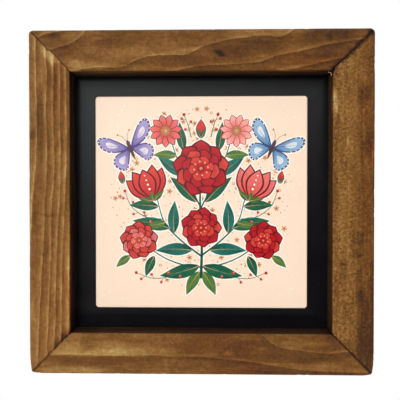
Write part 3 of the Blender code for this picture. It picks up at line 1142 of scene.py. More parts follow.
@dataclass
class MitredFrame:
    """The four rails: battens with a rebate along the back, mitred, and sanded together after gluing.

    Attributes:
        centre: The middle of the frame, as X and Z.
        opening_side: The opening's side.
        rail_face: A rail's width on the front.
        rail_depth: A rail's thickness.
        recess_depth: How deep the opening is before the rebate begins.
        rebate_width: The rebate's width.
        inner_arris: The rounding of the opening's edge.
        front_arris: The rounding of the front's outer edge.
        back_arris: The rounding of the back's outer edge.
        side_ease: How far the sides draw in at the two lower corners, and over what length.
        foot_ease: How far the underside rises at the two lower corners, and over what length.
        end_round: The rounding of a rail's edges at the mitre.
        cap_shares: How large the rings on a rail's end are, next to its section.
        cap_middle: Where those rings' middle lies, as shares of the rail's width and thickness.
        undulation: The depth of the sanded surface's slow hollows.
        nick_depth: The depth of the nicks in the edges, for each unit of their noise.
        station_step: The distance between stations along a rail.
        joint_dark: How strongly the dark stain covers the wood inside a joint.
        keyhole: The hanging slot: head diameter, slot width, travel, lip and head space.
        glue_depth: How far behind the face the bead of glue lies.
        finish: The wood.
    """

    centre: Point
    opening_side: float
    rail_face: float
    rail_depth: float
    recess_depth: float = 0.0185
    rebate_width: float = 0.0070
    inner_arris: float = 0.0009
    front_arris: float = 0.0017
    back_arris: float = 0.0009
    side_ease: Point = (0.0012, 0.0158)
    foot_ease: Point = (0.0010, 0.0085)
    end_round: float = 0.00035
    cap_shares: tuple[float, ...] = (0.955, 0.90, 0.84, 0.77, 0.70, 0.60, 0.40, 0.20)
    cap_middle: Point = (0.53, 0.42)
    undulation: float = 0.00014
    nick_depth: float = 0.0007
    station_step: float = 0.0011
    joint_dark: float = 0.60
    keyhole: tuple[float, float, float, float, float] = (0.0085, 0.0047, 0.0065, 0.0030, 0.0065)
    glue_depth: float = 0.0065
    finish: StainedPine = field(default_factory=StainedPine)

    @classmethod
    def from_solids(cls) -> "MitredFrame":
        """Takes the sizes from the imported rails.

        Returns:
            The frame.
        """
        low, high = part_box("rail_top")
        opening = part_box("rail_right")[0].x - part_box("rail_left")[1].x
        half = opening / 2 + (high.z - low.z)
        return cls((0.0, high.z - half), opening, high.z - low.z, high.y - low.y)

    @property
    def half_side(self) -> float:
        """Half of the frame's outer side."""
        return self.opening_side / 2 + self.rail_face

    def section(self) -> tuple[Array, Array]:
        """A rail's section, and how far each of its points turns out of the sanded block.

        The loop goes up the recess, over the inner arris, out along the face, round the outer arris, down the
        side, round the back arris, in along the back, up the rebate and in along its shoulder. Straight parts
        are even steps, and each arris is a quarter circle.

        Returns:
            For each point its distance across from the opening and its depth behind the face, and how far it
            is inset from the block's side by an arris.
        """
        face, depth, rebate, recess = self.rail_face, self.rail_depth, self.rebate_width, self.recess_depth
        inner, front, back = self.inner_arris, self.front_arris, self.back_arris

        def straight(start: Point, end: Point, count: int) -> Array:
            """Even steps from start, without the end."""
            return np.linspace(start, end, count, endpoint=False)

        def quarter(middle: Point, radius: float, start: float, end: float, count: int) -> Array:
            """Steps on a quarter circle, without the end."""
            angle = np.radians(np.linspace(start, end, count, endpoint=False))
            return np.stack([middle[0] + radius * np.cos(angle), middle[1] - radius * np.sin(angle)], 1)

        loop = np.concatenate(
            [
                straight((0.0, recess), (0.0, inner), 15),
                quarter((inner, inner), inner, 180, 90, 5),
                straight((inner, 0.0), (face - front, 0.0), 28),
                quarter((face - front, front), front, 90, 0, 7),
                straight((face, front), (face, depth - back), 16),
                quarter((face - back, depth - back), back, 0, -90, 4),
                straight((face - back, depth), (rebate, depth), 9),
                straight((rebate, depth), (rebate, recess), 5),
                straight((rebate, recess), (0.0, recess), 4),
            ]
        )
        limit = np.where(loop[:, 1] < depth / 2, front, back)
        return loop, np.minimum(face - loop[:, 0], limit)

    def ends(self, side: Side, across: Array, depth: Array) -> tuple[Array, Array]:
        """Where a rail begins and ends. The mitre's 45 degrees make a joint's width count root 2 times.

        Args:
            side: Which rail.
            across: Distances from the opening.
            depth: Distances behind the face.

        Returns:
            The places of both ends, from the rail's middle.
        """
        turn = 1.0 if side in (Side.TOP, Side.BOTTOM) else -1.0
        reach = self.opening_side / 2 + across
        backs = []
        for joint in END_JOINTS[side]:
            middle = turn * joint.centre(across / MM, depth / MM)
            backs.append((joint.opening(across / MM, depth / MM) / 2 + middle) * math.sqrt(2) * MM)
        return backs[0] - reach, reach - backs[1]

    def stations(self, start: Array, finish: Array) -> Array:
        """Where each section point's line of the grid has its stations, closer together towards both ends.

        Args:
            start: Where each line begins.
            finish: Where each line ends.

        Returns:
            One row for each station.
        """
        ends = np.array([0.0, 0.08, 0.2, 0.36, 0.6, 1.0, 1.7]) * MM
        count = int((finish.max() - start.min()) / self.station_step)
        share = np.linspace(0.0, 1.0, count)[1:-1, None]
        first, last = start + ends[-1], finish - ends[-1]
        middle = first + (last - first) * share
        return np.concatenate([start + ends[:, None], middle, finish - ends[::-1, None]])

    def wear(self, loop: Array, along: Array, seed: int) -> tuple[Array, Array]:
        """How sanding and use took the surface in.

        Slow noise makes hollows. Where quick noise passes a threshold near the front's edges, it makes
        nicks. At both ends the surface goes round a quarter circle. The recess and the rebate stay as they
        were cut.

        Args:
            loop: The section.
            along: The stations.
            seed: Picks the noises.

        Returns:
            For each point of the grid how far it lies sunk, and how strongly it is nicked.
        """
        way = np.concatenate([[0.0], np.cumsum(np.hypot(*np.diff(loop, axis=0).T))])
        place = np.stack([along.ravel(), np.tile(way, len(along))], 1)
        slow = layered_noise(place / (0.021, 0.011), seed)
        quick = layered_noise(place / (0.0042, 0.004), seed + 7)
        edge = np.exp(-(((loop - (self.rail_face, 0.0006)) / 0.0016) ** 2).sum(axis=1))
        edge += 0.5 * np.exp(-(((loop - (0.0, 0.0003)) / 0.0012) ** 2).sum(axis=1))
        nick = np.maximum(quick - 0.28, 0.0) * np.tile(edge, len(along))
        from_end = np.minimum(along - along[0], along[-1] - along).ravel()
        close = np.clip(1.0 - from_end / self.end_round, 0.0, 1.0)
        sunk = self.undulation * (0.5 + 0.5 * slow) + self.nick_depth * nick
        sunk += self.end_round * (1.0 - np.sqrt(1.0 - close**2))
        sanded = (loop[:, 1] < self.recess_depth - 0.0005) | (loop[:, 0] > self.rebate_width + 0.0005)
        return np.clip(sunk * np.tile(sanded, len(along)), 0.0, None), nick

    def shape(self, side: Side) -> RailMesh:
        """Works out a rail's surface.

        Each section point runs from one mitre to the other, sunk along the section's normal by its wear. Each
        end is closed by rings that get smaller towards a middle, and follow the joint's cut.

        Args:
            side: Which rail.

        Returns:
            Its surface.
        """
        loop, inset = self.section()
        along = self.stations(*self.ends(side, *loop.T))
        rows, columns = along.shape
        sunk, nick = self.wear(loop, along, FIGURES[side].seed)
        section = np.tile(loop, (rows, 1)) - np.tile(outline_normals(loop), (rows, 1)) * sunk[:, None]

        middle = np.array(self.cap_middle) * (self.rail_face, self.rail_depth)
        shares = np.array(self.cap_shares)[:, None]
        inner = (middle + shares[..., None] * (loop - middle)).reshape(-1, 2)
        inner = np.concatenate([inner, middle[None]])
        radii = [joint.corner * MM for joint in END_JOINTS[side]]
        tucked = [np.append((radius - (radius - inset) * shares).ravel(), 0.0) for radius in radii]
        caps = np.concatenate(self.ends(side, *inner.T))

        whole = np.concatenate([along.ravel(), caps])
        insets = np.concatenate([np.tile(inset, rows), *tucked])
        grain = np.column_stack([whole, np.concatenate([np.tile(loop, (rows, 1)), inner, inner])])
        end = np.stack([along - along[0], along[-1] - along])
        nearer = np.concatenate([end.argmin(axis=0).ravel(), np.repeat([0, 1], len(inner))])
        spare = np.zeros(len(caps))
        return RailMesh(
            self.place(side, whole, np.concatenate([section, inner, inner]), insets),
            self.faces(rows, columns, len(shares)),
            grain,
            np.concatenate([np.clip(nick * 3.0, 0.0, 1.0), spare]),
            np.stack([np.concatenate([end.min(axis=0).ravel(), spare]), nearer], 1),
            np.concatenate([np.zeros(rows * columns), spare + self.joint_dark]),
        )

    def sand(self, along: Array, out: Array, radius: Array, inset: Array) -> tuple[Array, Array]:
        """Brings points in to the sanded block's round corners.

        Where a point lies beyond the corner circle's middle both ways, its distance from that middle is cut
        to the corner's radius less the point's inset.

        Args:
            along: Distances from the rail's middle.
            out: Distances from the frame's middle.
            radius: The radius of the corner that is nearer to each point.
            inset: How far an arris insets each point.

        Returns:
            The new distances.
        """
        middle = self.half_side - radius
        run, rise = np.abs(along) - middle, out - middle
        reach = np.hypot(run, rise)
        allowed = np.maximum(radius - inset, 0.0002)
        inside = (run > 0) & (rise > 0)
        share = np.where(inside & (reach > allowed), allowed / np.maximum(reach, 1e-9), 1.0)
        new_along = np.where(inside, np.sign(along) * (middle + run * share), along)
        return new_along, np.where(inside, middle + rise * share, out)

    def place(self, side: Side, along: Array, section: Array, inset: Array) -> Array:
        """Puts a rail's points into the row's frame.

        The corners are brought in to the sanded block's. The two sides draw in towards the lower corners and
        the underside rises there, each by the square of the share of the ease's length.

        Args:
            side: Which rail.
            along: Distances from the rail's middle.
            section: Distances from the opening and behind the face.
            inset: How far an arris insets each point.

        Returns:
            The points.
        """
        first, last = END_JOINTS[side]
        radius = np.where(along < 0.0, first.corner, last.corner) * MM
        along, out = self.sand(along, self.opening_side / 2 + section[:, 0], radius, inset)
        run, rise = side.value
        x = along * run[0] + out * rise[0]
        z = along * run[1] + out * rise[1]
        half = self.half_side
        sides, feet = smooth_step(half - 0.012, half, np.abs(x)), smooth_step(half - 0.012, half, -z)
        low = np.clip(1.0 - (z + half) / self.side_ease[1], 0.0, 1.0)
        far = np.clip(1.0 - (half - np.abs(x)) / self.foot_ease[1], 0.0, 1.0)
        x = x - np.sign(x) * self.side_ease[0] * low**2 * sides
        z = z + self.foot_ease[0] * far**2 * feet
        return np.stack([x + self.centre[0], section[:, 1] - self.rail_depth, z + self.centre[1]], 1)

    def faces(self, rows: int, columns: int, rings: int) -> Faces:
        """The quads between the stations, and those of each end's rings, with a fan in the middle.

        Args:
            rows: How many stations there are.
            columns: How many section points there are.
            rings: How many rings an end has inside its edge.

        Returns:
            The faces.
        """

        def strips(number: Array) -> Faces:
            """The quads between rings, turned the other way."""
            return ring_quads(number)[:, [0, 3, 2, 1]].tolist()

        number = np.arange(rows * columns).reshape(rows, columns)
        made = strips(number)
        size = rings * columns + 1
        for end, edge in enumerate((number[0], number[-1])):
            start = rows * columns + end * size
            cap = np.concatenate([edge[None], start + np.arange(size - 1).reshape(rings, columns)])
            fan = np.stack([cap[-1], np.roll(cap[-1], -1), np.full(columns, start + size - 1)], 1)
            closed = strips(cap) + fan.tolist()
            made += [face[::-1] for face in closed] if end == 0 else closed
        return made

    def build_rail(self, side: Side, material: Material) -> Object:
        """Makes one rail and lays the figure of its wood on its points.

        Beside a joint the wood is darker, which falls off smoothly over the joint's reach. The recess's wall
        gets darker towards the board, as dark stain and painted shade, and the outer side is a little darker
        than the face.

        Args:
            side: Which rail.
            material: The wood's finish.

        Returns:
            The rail.
        """
        shape, figure = self.shape(side), FIGURES[side]
        piece = new_piece("pine_" + side.node, shape.points, shape.faces, material)
        along, across, depth = (shape.grain / MM).T
        level, warm = figure.stain(along, across + depth * 0.4)
        years, width = figure.growth(along, across, depth)
        stains = np.array([joint.stain for joint in END_JOINTS[side]])
        strength, reach = stains[shape.end[:, 1].astype(int)].T
        ragged = 0.35 * layered_noise(shape.grain / 0.0016, 5, 2)
        beside = strength * smooth_step(1.0, 0.15, shape.end[:, 0] / MM / reach + ragged)
        outer = 0.10 * smooth_step(27.8, 28.5, across) * smooth_step(0.5, 2.0, depth)
        fade = smooth_step(0.0, self.rail_face / MM, across)
        # The recess's wall: dark stain and painted shade, stronger towards the board and set for each rail by
        # figure.recess.
        front, back = figure.recess
        inner = smooth_step(1.2, 0.2, across) * smooth_step(0.5, 1.8, depth)
        inner *= front + (back - front) * smooth_step(2.0, 13.0, depth)
        values = {
            "grain": shape.grain,
            "growth": years,
            "ring_width": width,
            "level": level - outer - 0.06 * shape.wear - beside,
            "warmth": warm,
            "contrast": np.full(len(along), figure.contrast),
            "fleck": figure.fleck[0] * (1.0 - fade) + figure.fleck[1] * fade,
            "recess": np.clip(np.maximum(inner, shape.hidden), 0.0, 1.0),
            "bare": figure.bare(shape.grain / MM),
        }
        for name, value in values.items():
            add_values(piece, name, value)
        return piece

    def cut_keyhole(self, piece: Object) -> None:
        """Cuts the keyhole slot into the back of the top rail, as the solid has it.

        Args:
            piece: The top rail. Its mesh is exchanged for the cut one.
        """
        head, slot, travel, lip, space = self.keyhole
        depth, spare = lip + space, 0.004

        def outline(width: float) -> Array:
            """A slot with round ends, from the screw's place down by the travel.

            Args:
                width: How wide the slot is.

            Returns:
                One row for each point of the outline.
            """
            angle = np.radians(np.linspace(0.0, 180.0, 17))
            upper = np.stack([np.cos(angle), np.sin(angle)], 1) * width / 2
            return np.concatenate([upper, -upper + (0.0, -travel)])

        angle = np.radians(np.arange(0.0, 360.0, 11.25))
        hole = np.stack([np.cos(angle), np.sin(angle)], 1) * head / 2 - (0.0, travel)
        cutters = []
        cuts = (("hole", hole, spare), ("slot", outline(slot), spare), ("head", outline(head), -lip))
        for name, ring, start in cuts:
            points = np.concatenate([np.insert(ring, 1, start, axis=1), np.insert(ring, 1, -depth, axis=1)])
            number = np.arange(len(points)).reshape(2, -1)
            walls = ring_quads(number)[:, [0, 3, 2, 1]].tolist()
            faces = walls + [number[0][::-1].tolist(), number[1].tolist()]
            cutter = new_piece("keyhole_" + name, points, faces, piece.data.materials[0])
            cutters.append(cutter)
            modifier = piece.modifiers.new(cutter.name, "BOOLEAN")
            modifier.operation = "DIFFERENCE"
            modifier.solver = "EXACT"
            modifier.object = cutter
        bpy.context.view_layer.update()
        evaluated = piece.evaluated_get(bpy.context.evaluated_depsgraph_get())
        mesh = bpy.data.meshes.new_from_object(evaluated)
        piece.modifiers.clear()
        old, piece.data = piece.data, mesh
        mesh.name = old.name + "_cut"
        bpy.data.meshes.remove(old)
        for cutter in cutters:
            bpy.data.objects.remove(cutter)

    def glue_bead(self) -> "DriedGlue":
        """The glue in the opening's upper right corner, a third of the way down the wall."""
        half = self.opening_side / 2
        return DriedGlue((self.centre[0] + half, self.centre[1] + half), self.glue_depth - self.rail_depth)

    def build(self) -> None:
        """Makes and hands over the four rails."""
        material = self.finish.material()
        for side in Side:
            piece = self.build_rail(side, material)
            if side is Side.TOP:
                self.cut_keyhole(piece)
            hand_over(piece, side.node, sharp=38.0)


@dataclass(frozen=True)
class DriedGlue:
    """A bead of pale glue that came out of a joint, in a corner of the opening.

    Attributes:
        corner: The corner of the opening, as X and Z.
        depth: The Y of the bead's middle.
        knots: Where it runs, in millimetres from the corner.
        thick: Its half thickness in the middle and at its two lumps.
        colour: Its colour.
    """

    corner: Point
    depth: float
    knots: tuple[Point, ...] = ((-2.9, 0.0), (-1.7, -0.3), (-0.6, -0.6), (-0.3, -1.7), (0.0, -2.9))
    thick: Point = (0.00020, 0.00042)
    colour: Colour = (198, 180, 146)

    def material(self) -> Material:
        """Pale glue, a little browner where it is thin, with a soft shine.

        Returns:
            The material.
        """
        nodes = MaterialNodes("dried_glue")
        cloud = nodes.noise(nodes.add("TexCoord").outputs["Object"], (1400.0, 1400.0, 1400.0), 3.0)
        shades = ((0.35, tuple(0.72 * part for part in self.colour)), (0.6, self.colour))
        rough = nodes.ranged(cloud, 0.3, 0.7, (0.30, 0.48))
        return nodes.close({"Base Color": nodes.ramp(cloud, shades), "Roughness": rough})

    def build(self) -> None:
        """Carries a circle along the knots' line and hands the bead over.

        The circle's radius falls to nothing at both ends, as the root of one minus the square of the place,
        and swells at two lumps, by the square of a sine.
        """
        path = path_points(self.knots, 33) * MM
        place = np.linspace(-1.0, 1.0, len(path))
        thin, swollen = self.thick
        radius = (thin + (swollen - thin) * np.sin(np.pi * place) ** 2) * np.sqrt(1.002 - place**2)
        angle = np.radians(np.arange(0.0, 360.0, 30.0))
        flat = path[:, None] - (radius[:, None] * np.cos(angle))[..., None] * sideways(path)[:, None]
        out = self.depth + radius[:, None] * np.sin(angle)
        points = np.stack([self.corner[0] + flat[..., 0], out, self.corner[1] + flat[..., 1]], -1)
        faces = tube_faces(np.arange(out.size).reshape(out.shape))
        piece = new_piece("dried_glue", points.reshape(-1, 3), faces, self.material())
        hand_over(piece, "rail_top", sharp=180.0)


# The board


def square_outline(side: float, radius: float, arc_steps: int, side_steps: int) -> Array:
    """A square with round corners, anticlockwise, with points along its straight sides too.

    Args:
        side: Its side.
        radius: Its corners' radius.
        arc_steps: Steps of each corner.
        side_steps: Steps of each straight side.

    Returns:
        Its points.
    """
    reach = side / 2 - radius
    angle = np.radians(np.linspace(0.0, 90.0, arc_steps + 1))
    corner = np.stack([np.cos(angle), np.sin(angle)], 1) * radius + reach
    straight = np.linspace(corner[-1], corner[-1] * (-1.0, 1.0), side_steps, endpoint=False)[1:]
    quarter = np.concatenate([corner, straight])
    return np.concatenate([turned(quarter, 90 * number) for number in range(4)])


@dataclass
class Plate:
    """A flat square piece with rounded corners and edges.

    Attributes:
        centre: Its middle, as X and Z.
        side: Its side.
        front: The Y of its front.
        back: The Y of its back.
        edge_round: The rounding of its edges.
        corner_radius: The rounding of its corners.
    """

    centre: Point
    side: float
    front: float
    back: float
    edge_round: float
    corner_radius: float

    @classmethod
    def from_solid(cls, node: str) -> Self:
        """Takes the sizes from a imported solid."""
        low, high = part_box(node)
        return cls((0.0, (low.z + high.z) / 2), high.x - low.x, low.y, high.y)

    def quarter(self, count: int) -> Array:
        """The rounding of an edge, from the flat to the side: its insets, and its depths behind the flat."""
        angle = np.radians(np.linspace(0.0, 90.0, count))
        return self.edge_round * (1.0 - np.stack([np.sin(angle), np.cos(angle)], 1))

    def rings(self, profile: Array, arc_steps: int, side_steps: int) -> Array:
        """Rings round the plate.

        Args:
            profile: One row for each ring: its inset and its Y.
            arc_steps: Steps of each corner.
            side_steps: Steps of each straight side.

        Returns:
            One layer for each ring, of X, Y and Z.
        """
        flat = moved_in(square_outline(self.side, self.corner_radius, arc_steps, side_steps), profile[:, 0])
        height = np.broadcast_to(profile[:, None, 1], flat.shape[:2])
        return np.stack([flat[..., 0], height, flat[..., 1] + self.centre[1]], -1)


@dataclass
class BackingBoard(Plate):
    """The black board behind the frame's shoulder.

    Attributes:
        edge_round: The rounding of its edges.
        corner_radius: The rounding of its corners.
        finish: The paint.
    """

    edge_round: float = 0.0005
    corner_radius: float = 0.0012
    finish: SatinPaint = field(default_factory=SatinPaint)

    def build(self, mottle: NodeTree, opening: float) -> None:
        """Makes the board as rings round its edge, with a flat face at the front and at the back.

        The profile goes from the front over a quarter circle, down the side, and over another quarter circle
        to the back.

        Args:
            mottle: The shared node group.
            opening: The side of the opening that the board shows through.
        """
        turn = self.quarter(5)
        front = np.stack([turn[:, 0], self.front + turn[:, 1]], 1)
        back = np.stack([turn[::-1, 0], self.back - turn[::-1, 1]], 1)
        rings = self.rings(np.concatenate([front, back]), 4, 48)
        faces = tube_faces(np.arange(rings[..., 0].size).reshape(rings.shape[:2]))
        middle = (self.centre[0], (self.front + self.back) / 2, self.centre[1])
        material = self.finish.material(mottle, middle, opening)
        piece = new_piece("black_board", rings.reshape(-1, 3), faces, material)
        hand_over(piece, "backing_board", sharp=30.0)


# The picture


@dataclass(frozen=True)
class Palette:
    """The picture's colours."""

    ground: Colour = (254, 228, 205)
    wine: Colour = (104, 10, 22)
    red: Colour = (196, 26, 36)
    coral: Colour = (224, 72, 58)
    rose: Colour = (236, 124, 118)
    blush: Colour = (248, 184, 170)
    pine_green: Colour = (12, 72, 58)
    leaf: Colour = (36, 108, 70)
    moss: Colour = (106, 132, 46)
    teal: Colour = (32, 124, 112)
    night: Colour = (52, 72, 120)
    blue: Colour = (88, 134, 186)
    sky: Colour = (158, 194, 222)
    plum: Colour = (74, 58, 122)
    violet: Colour = (122, 106, 176)
    lilac: Colour = (178, 164, 214)
    copper: Colour = (188, 118, 72)
    sand: Colour = (226, 170, 122)
    cream: Colour = (255, 249, 240)
    haze: Colour = (255, 237, 220)
    bark: Colour = (84, 48, 36)


@dataclass(frozen=True)
class Shape:
    """One painted shape, in millimetres from the tile's middle.

    Attributes:
        outline: Its closed outline.
        near: Its colour at the start.
        far: Its colour at the end of the reach.
        start: Where the colour starts to change.
        reach: Where it ends. The change goes straight from start to reach, or round the start.
        ringed: Whether the colour changes with the distance from the start.
    """

    outline: Array
    near: Colour
    far: Colour
    start: Point
    reach: Point
    ringed: bool

    def colours(self, points: Array) -> Array:
        """The shape's linear colours: the near and the far one mixed by how far along the reach a point lies.

        Args:
            points: Points of the picture.

        Returns:
            A row of red, green, blue and alpha for each.
        """
        run = np.asarray(self.reach, float) - np.asarray(self.start, float)
        length = max(float(np.hypot(*run)), 1e-6)
        offset = points - np.asarray(self.start, float)
        share = np.hypot(*offset.T) / length if self.ringed else offset @ run / length**2
        share = np.clip(share, 0.0, 1.0)[:, None]
        return np.array(linear(self.near)) * (1.0 - share) + np.array(linear(self.far)) * share


def spoke(centre: Point, reach: float, degrees: float) -> Array:
    """The point at a distance from a centre, at an angle from the X axis."""
    return turned([(reach, 0.0)], degrees, centre)[0]


# The butterfly's outlines, as shares of its size, for its right side.
UPPER_WING = np.array([(5, 6), (30, 40), (66, 74), (96, 82), (104, 58), (88, 26), (52, 6), (16, 0)]) / 100
LOWER_WING = np.array([(5, 0), (40, 2), (70, -8), (80, -34), (62, -62), (40, -66), (22, -40), (8, -14)]) / 100
BODY = np.array([(0, 34), (6, 26), (7, 5), (5, -22), (0, -44), (-5, -22), (-7, 5), (-6, 26)]) / 100
FEELER = np.array([(2, 30), (10, 52), (24, 66)]) / 100

# A side's leaves: foot, angle, length, width, how far the tip bends, and which green.
LEAVES = (
    ((-1, -45), 202, 29, 9.6, -4, "green"),
    ((-1, -49), 232, 19, 7.6, 3, "olive"),
    ((-6, -34), 172, 26, 8.8, 4, "teal"),
    ((-22, -18.5), 160, 27, 8.8, 4, "green"),
    ((-25, -14), 200, 14, 5.6, -2, "olive"),
    ((-19, -22), 96, 23, 8, -3, "teal"),
    ((-30, -3), 172, 21, 7.4, 2, "green"),
    ((-3, 0), 130, 26, 8.4, 3, "green"),
    ((-11, 19), 150, 24, 8.2, -2, "teal"),
    ((-17, 33), 172, 17, 6.4, 2, "olive"),
    ((-12, 36), 104, 21, 6.8, -2, "green"),
    ((-33, -38), 240, 16, 6.4, 2, "green"),
    ((-50, -38), 210, 13, 5.4, 2, "olive"),
)


@dataclass
class FolkPicture:
    """A mirrored folk bouquet of rosettes, tulips and daisies, with two butterflies and scattered dots.

    Shapes are painted one over another. The picture is laid out in millimetres from the tile's middle, and
    most of it is drawn once and mirrored, with small changes of colour.

    Attributes:
        palette: The colours.
        shapes: What has been painted, the lowest first.
        margins: The pale margins that lie beneath the bouquet.
        flip: Whether what is painted now is mirrored.
        margin: How wide the pale margins are.
        apart: How far apart scattered dots are at least.
        tries: How often a place for a dot is tried.
    """

    palette: Palette = field(default_factory=Palette)
    shapes: list[Shape] = field(default_factory=list)
    margins: list[Shape] = field(default_factory=list)
    flip: bool = False
    margin: float = 0.75
    apart: float = 2.9
    tries: int = 2200

    def paint(
        self,
        outline: Array,
        near: Colour,
        far: Colour | None = None,
        start: Point = (0.0, 0.0),
        reach: Point = (1.0, 0.0),
        ringed: bool = False,
        margin: bool = False,
    ) -> None:
        """Adds a shape, anticlockwise, and mirrored if the picture is being drawn flipped.

        Args:
            outline: Its closed outline.
            near: Its colour at the start.
            far: Its colour at the end of the reach, if another.
            start: Where the colour starts to change.
            reach: Where it ends.
            ringed: Whether the colour changes with the distance from the start.
            margin: Whether it gets a pale margin, its outline moved out along its normals.
        """
        if self.flip:
            outline = outline * (-1.0, 1.0)
            start, reach = (-start[0], start[1]), (-reach[0], reach[1])
        after = np.roll(outline, -1, 0)
        if (outline[:, 0] * after[:, 1] - outline[:, 1] * after[:, 0]).sum() < 0:
            outline = outline[::-1]
        self.shapes.append(Shape(outline, near, near if far is None else far, start, reach, ringed))
        if margin:
            wide = moved_in(outline, np.array([-self.margin]))[0]
            self.margins.append(Shape(wide, self.palette.cream, self.palette.cream, start, reach, False))

    def disc(
        self, centre: Point, radius: float, near: Colour, far: Colour | None = None, steps: int = 14
    ) -> None:
        """Paints a round spot.

        Args:
            centre: Its middle.
            radius: Its radius.
            near: Its colour in the middle.
            far: Its colour at the rim, if another.
            steps: Its points.
        """
        angle = np.linspace(0.0, 2 * math.pi, steps, endpoint=False)
        ring = np.stack([np.cos(angle), np.sin(angle)], 1) * radius + np.asarray(centre)
        self.paint(ring, near, far, centre, (centre[0] + radius, centre[1]), True)

    def stroke(
        self, knots: Array, widths: Point, near: Colour, far: Colour | None = None, steps: int = 14
    ) -> None:
        """Paints a brush stroke: a line whose width goes evenly from the first to the second number.

        Args:
            knots: The points it passes through.
            widths: Its width at both ends.
            near: Its colour at the start.
            far: Its colour at the end, if another.
            steps: Its points on each side. A stroke of more than 14 is a stem, and gets a margin.
        """
        line = path_points(knots, steps)
        side = sideways(line) * (np.linspace(widths[0], widths[1], steps)[:, None] / 2)
        outline = np.concatenate([line + side, (line - side)[::-1]])
        self.paint(outline, near, far, line[0], line[-1], margin=steps > 14)

    @staticmethod
    def blade(length: float, width: float, bend: float, belly: float) -> tuple[Array, Array, Array]:
        """A leaf or petal that lies along X.

        Its midrib is a parabola that rises to the bend at its tip. Its half width is sin(pi t^belly) of the
        share t of its length, so a small belly puts the widest place near the foot and a large one near the
        tip.

        Args:
            length: Its length.
            width: Its greatest width.
            bend: How far its tip is bent to the left.
            belly: Where it is widest.

        Returns:
            The midrib, and its left and right edges, each of 16 points from foot to tip.
        """
        t = np.linspace(0.0, 1.0, 16)
        rib = np.stack([t * length, bend * t**2], 1)
        side = sideways(rib) * (np.sin(math.pi * t**belly) * width / 2)[:, None]
        return rib, rib + side, rib - side

    def leaf(
        self, foot: Point, angle: float, length: float, width: float, bend: float, dark: Colour, light: Colour
    ) -> None:
        """Paints a leaf: a dark blade, its lit half, a pale midrib, and side veins if it is long.

        Args:
            foot: Where it begins.
            angle: The way that it points.
            length: Its length.
            width: Its width.
            bend: How far its tip is bent to the left.
            dark: Its dark tone.
            light: Its light tone.
        """
        rib, left, right = self.blade(length, width, bend, 0.8)

        def place(points: Array) -> Array:
            """Points of the leaf, put where it grows."""
            return turned(points, angle, foot)

        tip = place(rib[-1:])[0]
        self.paint(place(np.concatenate([left, right[-2:0:-1]])), dark, light, foot, tip, margin=True)
        lit = rib + (left - rib) * 0.86
        self.paint(place(np.concatenate([lit[1:-1], rib[-2:0:-1]])), light, dark, foot, tip)
        self.stroke(place(rib[[0, 5, 10, 14]]), (0.45, 0.16), self.palette.sand, light, 10)
        for index in (4, 7, 10) if length >= 12 else ():
            for edge in (left, right):
                ends = np.stack([rib[index], rib[index + 1] * 0.4 + edge[index + 2] * 0.6])
                self.stroke(place(ends), (0.22, 0.1), self.palette.moss, light, 3)

    def petal(
        self,
        foot: Point,
        angle: float,
        length: float,
        width: float,
        tones: Tones,
        belly: float = 1.5,
        margin: bool = True,
    ) -> None:
        """Paints a petal: its edge, a wash that pales to the tip, and three fine strokes from its foot.

        Args:
            foot: Where it begins.
            angle: The way that it points.
            length: Its length.
            width: Its width.
            tones: Its edge, its deep and its pale colour.
            belly: Where it is widest.
            margin: Whether it gets a pale margin.
        """
        edge, deep, pale = tones
        rib, left, right = self.blade(length, width, 0.0, belly)
        outline = np.concatenate([left, right[-2:0:-1]])
        self.paint(turned(outline, angle, foot), edge, margin=margin)
        inner = outline * (0.90, 0.80) + (length * 0.055, 0.0)
        self.paint(turned(inner, angle, foot), deep, pale, foot, turned(rib[-1:], angle, foot)[0])
        for turn, reach in ((-0.20, 0.60), (0.0, 0.70), (0.20, 0.60)):
            ends = [[0.12 * length, 0.0], [reach * length, turn * width]]
            self.stroke(turned(ends, angle, foot), (0.34, 0.10), edge, deep, 4)

    def rosette(self, centre: Point, radius: float, tones: Tones, turn: float = 0.0) -> None:
        """Paints a full flower: three rings of petals, each half a step round from the last, and an eye.

        Petals are by turns a little longer and shorter, and the rings get paler towards the middle.

        Args:
            centre: Its middle.
            radius: Its radius.
            tones: Its edge, its deep and its pale colour.
            turn: Its turn, in degrees.
        """
        edge, deep, pale = tones
        between = tuple((a + b) / 2 for a, b in zip(edge, deep))
        rings = ((1.0, 9, 0.74, edge, deep), (0.72, 8, 0.60, between, deep), (0.47, 6, 0.46, deep, pale))
        for ring, (share, count, wide, foot, tip) in enumerate(rings):
            for number in range(count):
                angle = turn + 360.0 * number / count + (180.0 / count) * (ring % 2)
                length = radius * share * (1.0 - 0.05 * (number % 2))
                lit = pale if (number * 2 + ring) % 5 == 0 else tip
                self.petal(centre, angle, length, radius * wide, (edge, foot, lit), 1.75, ring == 0)
        self.disc(centre, radius * 0.17, edge, deep)
        for number in range(8):
            spot = spoke(centre, radius * 0.24, turn + 45.0 * number)
            self.disc(spot, radius * 0.034, self.palette.sand, None, 8)
        self.disc(centre, radius * 0.06, self.palette.sand, self.palette.copper, 10)

    def daisy(self, centre: Point, radius: float, tones: Tones, turn: float = 0.0) -> None:
        """Paints a flat flower of narrow petals round a copper eye.

        Args:
            centre: Its middle.
            radius: Its radius.
            tones: Its edge, its deep and its pale colour.
            turn: Its turn, in degrees.
        """
        for number in range(11):
            self.petal(centre, turn + 360.0 * number / 11, radius, radius * 0.46, tones, 1.5)
        self.disc(centre, radius * 0.30, self.palette.bark, self.palette.copper)
        self.disc(centre, radius * 0.23, self.palette.sand, self.palette.copper)
        for number in range(7):
            self.disc(spoke(centre, radius * 0.14, 51.4 * number), radius * 0.03, self.palette.bark, None, 7)

